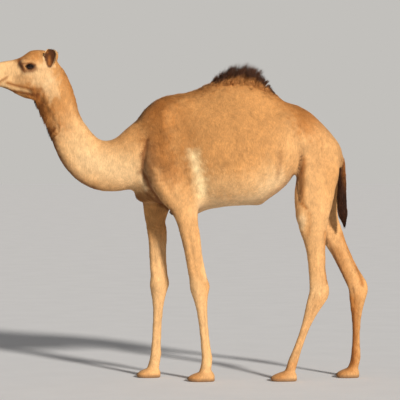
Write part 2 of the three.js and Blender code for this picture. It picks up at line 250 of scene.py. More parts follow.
def even_skin():
    """The joined solids as an even mesh of quads, finer on the head and legs."""
    whole = joined_solids()
    points = coordinates(whole.data)
    for zoom in ZOOMS:
        points = zoom.apply(points)
    set_coordinates(whole.data, points)
    mesh = with_modifier(whole, "REMESH", mode="VOXEL", voxel_size=VOXEL)
    bpy.data.objects.remove(whole)
    points = coordinates(mesh)
    for zoom in reversed(ZOOMS):
        points = zoom.undo(points)
    set_coordinates(mesh, points)
    return mesh


class Relaxer:
    """Smooths a mesh's points along its edges, as hard as each point's weight says."""

    def __init__(self, mesh):
        self.count = len(mesh.vertices)
        edges = np.empty(len(mesh.edges) * 2, dtype=np.int32)
        mesh.edges.foreach_get("vertices", edges)
        ends = edges.reshape(-1, 2)
        self.near = np.concatenate([ends[:, 0], ends[:, 1]])
        self.far = np.concatenate([ends[:, 1], ends[:, 0]])
        self.degree = np.maximum(np.bincount(self.near, minlength=self.count), 1)

    def average(self, values):
        """The mean of the neighbours' values, for one column or several."""
        columns = values.reshape(self.count, -1)
        sums = [np.bincount(self.near, column[self.far], self.count) for column in columns.T]
        return (np.array(sums).T / self.degree[:, None]).reshape(values.shape)

    def relax(self, points, rounds, weight=1.0):
        weight = np.broadcast_to(weight, self.count)[:, None] * 0.5
        for _ in range(rounds):
            points = points + weight * (self.average(points) - points)
        return points

    def smooth(self, points, rounds, weight=1.0):
        """Takes out facets and rings, and puts back the volume that this costs."""
        once = self.relax(points, rounds, weight)
        return 2.0 * once - self.relax(once, rounds, weight)


# ------------------------------------------------------------------ places on the body
def box(node):
    """The low and high corners of a node's box."""
    return [np.array(corner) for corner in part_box(node)]


def cut_centre(node, end):
    """The middle of a leg piece's top or bottom cut, as a point of the frame."""
    rows = coordinates(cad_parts[node].data)
    level = rows[:, 2].max() if end == "top" else rows[:, 2].min()
    return rows[np.abs(rows[:, 2] - level) < 0.04].mean(axis=0)


def leg_bones(leg, middle):
    """Elbow or stifle, knee or hock, fetlock and toe of one leg."""
    low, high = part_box(leg + "_foot")
    return np.array([
        cut_centre(f"{leg}_{middle}", "top"),
        cut_centre(leg + "_cannon", "top"),
        cut_centre(leg + "_foot", "top"),
        [low[0], (low[1] + high[1]) / 2, low[2]],
    ])


LEGS = {f"{end}_{side}": leg_bones(f"{end}_{side}", middle)
        for end, middle in (("foreleg", "forearm"), ("hindleg", "shank")) for side in SIDES}
EYES = {side: np.array(sum(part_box("eye_" + side), Vector()) / 2) for side in SIDES}
EYE_RADIUS = 0.0285
EARS = ["ear_" + side for side in SIDES]
EAR_MARGIN = 0.006


def near_node(points, node, margin):
    """1 inside a node's box, fading to 0 over a margin outside it."""
    low, high = box(node)
    outside = np.maximum(np.maximum(low - points, points - high), 0.0)
    return 1.0 - smoothstep(0.0, margin, np.linalg.norm(outside, axis=1))


def near_any(points, nodes, margin):
    """The same for the nearest of several nodes."""
    return np.max([near_node(points, node, margin) for node in nodes], axis=0)


# ------------------------------------------------------------------ sculpting
class Sculptor:
    """Moves the skin's points in and out along its normals."""

    def __init__(self, mesh):
        self.mesh = mesh
        self.points = coordinates(mesh)
        self.refresh()

    def refresh(self):
        """Writes the points to the mesh, and reads its new normals."""
        set_coordinates(self.mesh, self.points)
        self.normals = normals(self.mesh)

    def push(self, amount):
        """Moves each point outward by its own amount."""
        self.points += self.normals * amount[:, None]

    def side_stroke(self, path, width, height):
        """A ridge, or a groove if height is negative, drawn in side view on both flanks."""
        path = np.asarray(path, dtype=float)
        flat = self.points[:, [0, 2]]
        near = np.all((flat > path.min(0) - 3 * width) & (flat < path.max(0) + 3 * width), axis=1)
        amount = np.zeros(len(flat))
        distance, share = path_distance(flat[near], path)
        taper = smoothstep(0.0, 0.15, share) * smoothstep(1.0, 0.85, share)
        facing = np.abs(self.normals[near, 1]) ** 0.7
        amount[near] = height * bell(distance, width) * facing * (0.35 + 0.65 * taper)
        self.push(amount)

    def stroke(self, path, width, height, taper=0.15):
        """The same, along a path through the body's own space."""
        path = np.asarray(path, dtype=float)
        near = np.all((self.points > path.min(0) - 3 * width)
                      & (self.points < path.max(0) + 3 * width), axis=1)
        amount = np.zeros(len(self.points))
        distance, share = path_distance(self.points[near], path)
        fade = smoothstep(0.0, taper, share) * smoothstep(1.0, 1.0 - taper, share)
        amount[near] = height * bell(distance, width) * fade
        self.push(amount)

    def dab(self, centre, radii, height):
        """A rounded bump or hollow, with its own radius along each axis."""
        offset = (self.points - np.asarray(centre)) / np.asarray(radii)
        self.push(height * bell(np.linalg.norm(offset, axis=1), 1.0))

    def both(self, method, where, *sizes):
        """One stroke or dab on each side of the body."""
        for sign in SIDES.values():
            method(np.asarray(where, dtype=float) * (1.0, sign, 1.0), *sizes)


# Strokes in side view, [(x, z), ...], width, height.
BODY_STROKES = (
    ([(-0.205, 1.62), (-0.232, 1.50), (-0.236, 1.38), (-0.20, 1.27), (-0.12, 1.19)], 0.018, -0.012),
    ([(-0.09, 1.80), (-0.105, 1.66), (-0.10, 1.53)], 0.022, 0.006),  # spine of the blade
    ([(-0.03, 1.79), (-0.02, 1.66), (0.0, 1.55)], 0.03, -0.004),
    ([(0.165, 1.15), (0.175, 1.28), (0.135, 1.43), (0.06, 1.58), (0.02, 1.72)], 0.032, -0.006),
    ([(0.11, 1.17), (0.10, 1.30), (0.05, 1.42)], 0.028, 0.007),      # triceps
    ([(-0.165, 1.42), (-0.13, 1.30), (-0.07, 1.21)], 0.022, 0.006),  # point of the shoulder
    ([(-0.11, 1.36), (-0.06, 1.26), (0.0, 1.17)], 0.016, -0.005),
    ([(-0.25, 1.28), (-0.21, 1.22), (-0.15, 1.18)], 0.012, -0.006),  # brisket folds
    ([(-0.27, 1.25), (-0.22, 1.20), (-0.17, 1.17)], 0.010, 0.004),
    ([(0.58, 1.20), (0.68, 1.25), (0.76, 1.33), (0.79, 1.42)], 0.022, -0.008),  # flank fold
    ([(0.62, 1.25), (0.72, 1.32), (0.785, 1.42), (0.80, 1.50)], 0.018, 0.007),
    ([(0.70, 1.60), (0.76, 1.54), (0.80, 1.46)], 0.045, -0.007),
    ([(0.80, 1.60), (0.84, 1.45), (0.835, 1.28), (0.82, 1.16)], 0.040, 0.006),  # thigh muscles
    ([(0.93, 1.58), (0.965, 1.42), (0.965, 1.26), (0.94, 1.14)], 0.020, -0.006),
    ([(1.01, 1.52), (1.03, 1.38), (1.0, 1.24)], 0.028, 0.006),
    ([(0.805, 1.52), (0.796, 1.43), (0.781, 1.34), (0.788, 1.20)], 0.012, -0.018),
    ([(0.835, 1.50), (0.830, 1.36), (0.825, 1.20)], 0.022, 0.005),   # front edge of the thigh
    ([(0.790, 1.168), (0.815, 1.160), (0.840, 1.135)], 0.009, -0.007),  # crease over the stifle
    ([(0.850, 1.110), (0.856, 1.040), (0.842, 0.960)], 0.012, -0.005),
    ([(0.960, 1.02), (0.965, 0.90), (0.968, 0.78), (0.974, 0.68), (0.962, 0.60)], 0.009, -0.012),
    ([(0.994, 0.98), (0.992, 0.80), (1.000, 0.67)], 0.010, 0.004),   # Achilles tendon
    ([(0.905, 0.92), (0.915, 0.78), (0.920, 0.68)], 0.016, 0.004),
    ([(0.900, 0.60), (0.885, 0.565), (0.862, 0.50)], 0.010, -0.004),
    ([(0.930, 0.63), (0.950, 0.58), (0.925, 0.52)], 0.012, 0.004),
    ([(1.08, 0.96), (1.125, 0.86), (1.165, 0.77), (1.203, 0.67)], 0.009, -0.012),
    ([(1.14, 0.95), (1.185, 0.82), (1.222, 0.69)], 0.010, 0.004),
    ([(1.145, 0.62), (1.160, 0.56), (1.165, 0.47)], 0.010, -0.004),
    ([(0.055, 1.06), (0.075, 0.92), (0.100, 0.78), (0.115, 0.68)], 0.011, -0.006),  # forearm
    ([(0.100, 1.08), (0.115, 0.92), (0.130, 0.76)], 0.012, 0.005),
    ([(0.150, 1.02), (0.155, 0.88), (0.158, 0.72)], 0.009, -0.006),
    ([(-0.175, 0.98), (-0.165, 0.84), (-0.155, 0.70)], 0.011, -0.005),
    ([(-0.105, 0.98), (-0.110, 0.84), (-0.112, 0.70)], 0.009, -0.006),
)
# Soft forms on both sides, (x, y, z), radii, height.
BODY_DABS = (
    ((0.70, 0.17, 1.72), (0.06, 0.08, 0.05), 0.012),    # hip bone
    ((1.03, 0.09, 1.55), (0.05, 0.06, 0.05), 0.010),    # pin bone
    ((0.62, 0.22, 1.60), (0.07, 0.08, 0.08), -0.008),   # hollow before the hip
    ((0.800, 0.17, 1.085), (0.036, 0.06, 0.058), 0.013),    # kneecap at the stifle
    ((0.805, 0.17, 0.995), (0.022, 0.05, 0.045), 0.005),
    ((0.125, 0.19, 1.16), (0.04, 0.05, 0.05), 0.007),   # elbow
    ((1.035, 0.11, 1.385), (0.060, 0.080, 0.090), 0.021),   # buttock under the pin bone
)


def smooth_out_facets(mesh):
    """Rounds off the solids' facets and cuts, less on the ears, feet and tail."""
    relaxer = Relaxer(mesh)
    points = coordinates(mesh)
    head = smoothstep(*HEAD_LEVELS, (points - HEAD_CENTRE) @ HEAD_AXIS)
    legs = smoothstep(1.15, 1.0, points[:, 2])
    thin = np.maximum(near_any(points, EARS, 0.004), near_node(points, "tail", 0.01))
    thin = np.maximum(thin, near_any(points, [leg + "_foot" for leg in LEGS], 0.02))
    points = relaxer.smooth(points, 30, weight=1.0 - 0.75 * thin - 0.25 * legs * (1.0 - thin))
    points = relaxer.smooth(points, 40, weight=head * (1.0 - 0.85 * thin))
    points = relaxer.smooth(points, 14, weight=near_any(points, EARS, EAR_MARGIN))
    stretched = smoothstep(0.78, 0.88, points[:, 2]) * smoothstep(1.22, 1.10, points[:, 2])
    points = relaxer.smooth(points, 50, weight=stretched * smoothstep(-0.35, -0.25, points[:, 0]))
    set_coordinates(mesh, points)


def sculpt_body(tool):
    """Blades, muscles, folds and bones of the trunk and upper legs."""
    for path, width, height in BODY_STROKES:
        tool.side_stroke(path, width, height)
    for where, radii, height in BODY_DABS:
        tool.both(lambda centre: tool.dab(centre, radii, height), where)
    tool.refresh()


# ------------------------------------------------------------------ the head
# Soft forms of the head on both sides, (x, y, z), radii, height.
HEAD_DABS = (
    ((-1.045, 0.066, 2.075), (0.030, 0.030, 0.026), -0.005),   # tear hollow
    ((-0.980, 0.088, 2.062), (0.048, 0.040, 0.040), 0.007),    # flesh round the eye
    ((-0.925, 0.085, 2.125), (0.035, 0.030, 0.030), -0.006),   # temple
    ((-0.925, 0.085, 1.965), (0.062, 0.040, 0.070), 0.006),    # chewing muscle
    ((-1.080, 0.055, 1.985), (0.055, 0.030, 0.035), -0.005),   # hollow of the cheek
    ((-1.150, 0.048, 2.055), (0.060, 0.030, 0.025), -0.004),   # side of the nose
    ((-1.228, 0.040, 2.035), (0.024, 0.022, 0.026), 0.005),    # wing of the nostril
    ((-1.205, 0.044, 1.992), (0.034, 0.022, 0.022), 0.005),    # fullness of the upper lip
    ((-1.215, 0.026, 1.946), (0.024, 0.026, 0.016), 0.004),    # lower lip
)
# Ridges and grooves of the head on both sides, path, width, height.
HEAD_STROKES = (
    ([(-1.040, 0.062, 2.092), (-0.990, 0.084, 2.106), (-0.925, 0.090, 2.094)], 0.017, 0.007),
    ([(-1.040, 0.070, 2.025), (-0.960, 0.092, 2.022), (-0.880, 0.090, 2.055)], 0.014, 0.004),
    ([(-1.126, 0.055, 1.960), (-1.070, 0.062, 1.940), (-0.990, 0.075, 1.931),
      (-0.955, 0.080, 1.936)], 0.009, -0.005),                 # edge of the jaw bone
    ([(-1.164, 0.045, 1.934), (-1.100, 0.048, 1.913), (-1.037, 0.056, 1.893),
      (-0.943, 0.060, 1.896)], 0.009, -0.005),
    ([(-0.955, 0.080, 1.940), (-0.905, 0.085, 1.915), (-0.865, 0.085, 1.960),
      (-0.862, 0.082, 2.030)], 0.012, 0.004),                  # angle of the jaw
    ([(-0.870, 0.080, 1.870), (-0.840, 0.080, 1.950), (-0.822, 0.075, 2.030)], 0.016, -0.005),
)
NECK_STROKES = (
    ([(-0.925, 0.045, 1.880), (-0.850, 0.055, 1.750), (-0.780, 0.060, 1.620),
      (-0.700, 0.070, 1.490), (-0.600, 0.080, 1.370), (-0.450, 0.090, 1.310)], 0.026, -0.005),
    ([(-0.905, 0.025, 1.850), (-0.835, 0.028, 1.700), (-0.760, 0.030, 1.560),
      (-0.660, 0.035, 1.420)], 0.022, 0.004),                  # windpipe
    ([(-0.800, 0.070, 1.950), (-0.730, 0.075, 1.800), (-0.660, 0.080, 1.660),
      (-0.560, 0.090, 1.530), (-0.420, 0.110, 1.480)], 0.035, 0.005),
)
MOUTH = [(-1.258, 0.0, 1.974), (-1.250, 0.020, 1.974), (-1.232, 0.036, 1.966),
         (-1.205, 0.044, 1.958), (-1.178, 0.046, 1.960), (-1.150, 0.046, 1.976),
         (-1.122, 0.050, 1.998)]
NOSTRIL = [(-1.196, 0.044, 2.060), (-1.216, 0.043, 2.054), (-1.234, 0.037, 2.042),
           (-1.246, 0.026, 2.028), (-1.250, 0.018, 2.018)]
PHILTRUM = [(-1.262, 0.0, 2.030), (-1.264, 0.0, 2.005), (-1.260, 0.0, 1.982)]
BROW = (-1.025, 0.072, 2.088)    # where the ridge over the right eye starts
# Radii within which the skin's mesh is halved, and halved again at the lids.
FINE_EYE = 0.052
FINE_LIP = 0.016
FINE_NOSTRIL = 0.018
FINE_PHILTRUM = 0.012
FINE_LIDS = 0.032
LID_RIM = 0.0026        # how far a lid's edge stands off the eyeball
SOCKET = 0.0060         # how far the skin sinks behind the eyeball
EYE_OPENING = 0.0250    # half its width
UPPER_LID = 0.0146      # its height above and below the line between the corners
LOWER_LID = 0.0122
EYE_DEPTH = 0.0065      # the eyeball's centre behind the solid's, inward
EYE_BACK = 0.0060       # and towards the tail
EYE_LOOKS = (-0.22, 1.0, 0.02)   # outward and a little forward, for the right eye


def eye_frame(side):
    """The eye's centre, and its outward, forward and upward axes."""
    out = unit(np.array(EYE_LOOKS) * (1.0, SIDES[side], 1.0))
    upward = unit(np.array([0.0, 0.0, 1.0]) - out[2] * out)
    ahead = np.cross(upward, out) * -SIDES[side]
    if ahead[0] > 0:
        ahead = -ahead
    return EYES[side] - EYE_DEPTH * out - EYE_BACK * ahead, out, ahead, upward


def lid_gap(ahead, upward):
    """How far outside the opening between the lids a place is, negative inside it."""
    share = np.clip(np.abs(ahead) / EYE_OPENING, 0.0, 3.0)
    top = UPPER_LID * (1.0 - share ** 2.2)
    bottom = -LOWER_LID * (1.0 - share ** 2.0)
    return np.maximum(upward - top, bottom - upward) * 0.8


def refine(mesh, places):
    """Halves the mesh's edges inside the balls (centre, radius) in places."""
    with edited(mesh) as work:
        inside = set()
        for centre, radius in places:
            centre = Vector(centre)
            inside.update(v for v in work.verts if (v.co - centre).length < radius)
        edges = [e for e in work.edges if e.verts[0] in inside and e.verts[1] in inside]
        bmesh.ops.subdivide_edges(work, edges=edges, cuts=1, use_grid_fill=True)


def mirrored(path):
    """A path on the camel's left and the same path on its right."""
    return [np.asarray(path) * (1.0, sign, 1.0) for sign in SIDES.values()]


def set_lids(points, side):
    """Wraps the skin round the eyeball as two lids with clean rims."""
    centre, out, ahead, upward = eye_frame(side)
    offset = points - centre
    near = (np.linalg.norm(offset, axis=1) < 0.065) & (offset @ out > 0.0)
    local = offset[near]
    distance = np.linalg.norm(local, axis=1)
    along, rise, depth = local @ ahead, local @ upward, local @ out
    # Places on the eyeball, seen from straight outside.
    scale = EYE_RADIUS / np.maximum(distance, 1e-6)
    real_gap = lid_gap(along, rise)
    gap = np.maximum(lid_gap(along * scale, rise * scale), real_gap - 0.004)
    rim = EYE_RADIUS + LID_RIM
    crease = 0.0018 * bell(gap - 0.0060, 0.0018) * (rise > 0.0)
    lid = rim + 0.0012 * smoothstep(0.0, 0.003, gap) - crease
    blend = smoothstep(0.003, 0.020, real_gap)
    target = lid * (1.0 - blend) + np.maximum(distance, rim - 0.002) * blend
    sink = smoothstep(0.0004, -0.0012, gap)
    target = target * (1.0 - sink) + (EYE_RADIUS - SOCKET) * sink
    distance = distance + (target - distance) * smoothstep(0.0, 0.006, depth)
    points[near] = centre + unit(local) * distance[:, None]


def sculpt_head(mesh):
    """The face's bones and flesh, then a finer mesh for the lids, lips and nostrils."""
    tool = Sculptor(mesh)
    for path, width, height in HEAD_STROKES + NECK_STROKES:
        tool.both(lambda where: tool.stroke(where, width, height), path)
    for where, radii, height in HEAD_DABS:
        tool.both(lambda centre: tool.dab(centre, radii, height), where)
    tool.refresh()
    eyes = [(EYES[side], FINE_EYE) for side in SIDES]
    lips = [(point, FINE_LIP) for path in mirrored(MOUTH) for point in path]
    lips += [(point, FINE_NOSTRIL) for path in mirrored(NOSTRIL) for point in path]
    lips += [(point, FINE_PHILTRUM) for point in PHILTRUM]
    refine(mesh, eyes + lips)
    refine(mesh, [(EYES[side] + 0.6 * EYE_RADIUS * eye_frame(side)[1], FINE_LIDS)
                  for side in SIDES])
    relaxer = Relaxer(mesh)
    points = coordinates(mesh)
    fresh = np.zeros(len(points))
    for centre, radius in eyes + lips:
        away = np.linalg.norm(points - np.asarray(centre), axis=1)
        fresh = np.maximum(fresh, smoothstep(radius * 1.2, radius * 0.9, away))
    points = relaxer.relax(points, 6, weight=fresh)
    for brow in mirrored(BROW):
        away = np.linalg.norm(points - brow, axis=1)
        points = relaxer.smooth(points, 40, weight=smoothstep(0.045, 0.015, away))
    for side in SIDES:
        set_lids(points, side)
    set_coordinates(mesh, points)
    tool = Sculptor(mesh)
    for path in mirrored(MOUTH):
        tool.stroke(path + (0.0, 0.0, 0.009), 0.007, 0.0022, 0.05)
        tool.stroke(path - (0.0, 0.0, 0.008), 0.006, 0.0014, 0.05)
        tool.stroke(path, 0.0034, -0.0085, 0.02)
    for path in mirrored(NOSTRIL):
        tool.stroke(path[1:] + (0.004, 0.0, 0.012), 0.007, 0.0030)
        tool.stroke(path[1:] - (0.0, 0.0, 0.010), 0.006, 0.0026)
        tool.refresh()
        tool.stroke(path, 0.0052, -0.0190, 0.15)
    tool.stroke(PHILTRUM, 0.0045, -0.0060, 0.2)
    tool.refresh()


# ------------------------------------------------------------------ the legs
def sculpt_legs(tool):
    """Tendons, the flat front of each knee, the point of each hock and the cleft of each foot."""
    for leg, (top, middle, fetlock, toe) in LEGS.items():
        hind = leg.startswith("hind")
        for face in (-1.0, 1.0):
            def beside(share, offset, out=0.035):
                """A place on the cannon, by its share of the way down."""
                return middle + (fetlock - middle) * share + (offset, face * out, 0.0)
            tool.stroke([beside(0.10, 0.010), beside(0.5, 0.008, 0.026),
                         beside(0.92, 0.008, 0.030)], 0.009, -0.0045)
            tool.stroke([beside(0.10, 0.030), beside(0.5, 0.022, 0.020),
                         beside(0.92, 0.022, 0.022)], 0.010, 0.0025)
            tool.dab(fetlock + (0.0, face * 0.036, 0.012), (0.024, 0.014, 0.024), 0.004)
            if hind:
                tool.stroke([middle + (0.030, face * 0.034, 0.02),
                             middle * 0.72 + top * 0.28 + (0.036, face * 0.042, 0.0),
                             middle * 0.4 + top * 0.6 + (0.05, face * 0.055, 0.0)],
                            0.016, -0.0085)
                tool.dab(middle + (-0.012, face * 0.040, -0.020), (0.030, 0.016, 0.035), 0.005)
                tool.dab(middle + (0.000, face * 0.038, 0.045), (0.022, 0.016, 0.030), -0.004)
            else:
                tool.dab(middle + (-0.020, face * 0.046, 0.0), (0.030, 0.018, 0.040), 0.005)
                tool.dab(middle + (0.012, face * 0.046, 0.055), (0.020, 0.018, 0.035), -0.005)
                tool.stroke([middle + (-0.012, face * 0.05, 0.09),
                             middle + (-0.010, face * 0.055, 0.25),
                             middle + (-0.004, face * 0.06, 0.40)], 0.014, -0.0045)
                tool.dab(middle + (0.055, 0.0, 0.030), (0.022, 0.030, 0.030), 0.0025)
        if not hind:
            tool.dab(middle + (-0.062, 0.0, -0.010), (0.016, 0.040, 0.045), 0.004)
            tool.dab(middle + (-0.060, 0.0, 0.080), (0.020, 0.040, 0.040), -0.005)
        cleft = toe * (1.0, 1.0, 0.0) + (0.0, 0.0, 0.012)
        tool.stroke([cleft + (-0.004, 0.0, 0.0), cleft + (0.030, 0.0, 0.030),
                     cleft + (0.075, 0.0, 0.052)], 0.009, -0.006)
        tool.dab(fetlock + (0.030, 0.0, -0.02), (0.020, 0.030, 0.026), 0.004)
    tool.refresh()


# ------------------------------------------------------------------ markings
def colour(red, green, blue):
    """A linear colour from its usual 0 to 255 numbers."""
    share = np.array([red, green, blue]) / 255.0
    return np.where(share <= 0.04045, share / 12.92, ((share + 0.055) / 1.055) ** 2.4)


SAND = colour(203, 147, 88)
CREAM = colour(238, 196, 142)
PALE = colour(242, 205, 155)
# Brighter than the palest hair, for a painted highlight.
PALE_HAIR_HIGHLIGHT = colour(255, 226, 172)
RUST = colour(172, 106, 44)
UMBER = colour(116, 62, 22)
CHOCOLATE = colour(70, 38, 18)
NEAR_BLACK = colour(26, 15, 9)
LEG_TAN = colour(222, 172, 116)


def waves(points, scale, seed):
    """Smooth, even noise from -1 to 1, about scale metres from hill to hill."""
    chance = np.random.default_rng(seed)
    total = np.zeros(len(points))
    for _ in range(9):
        way = unit(chance.normal(size=3)) * (2 * math.pi / scale) * chance.uniform(0.6, 1.5)
        total += np.sin(points @ way + chance.uniform(0, 2 * math.pi))
    return total / 4.5


def side_path(points, path, width, ragged, seed):
    """1 on a line drawn in side view, fading over its width, with a ragged edge."""
    path = np.asarray(path, dtype=float)
    distance, _ = path_distance(points[:, [0, 2]], path)
    if ragged:
        distance = distance * np.maximum(1.0 + ragged * waves(points, 0.045, seed), 0.45)
    return bell(distance, width)


def blob(points, centre, radii, ragged, seed):
    """1 in a rounded patch on both flanks, (x, |y|, z)."""
    mirrored_points = points * (1.0, 0.0, 1.0) + np.abs(points * (0.0, 1.0, 0.0))
    distance = np.linalg.norm((mirrored_points - np.asarray(centre)) / np.asarray(radii), axis=1)
    if ragged:
        distance = distance * np.maximum(1.0 + ragged * waves(points, 0.05, seed), 0.45)
    return smoothstep(1.25, 0.55, distance)
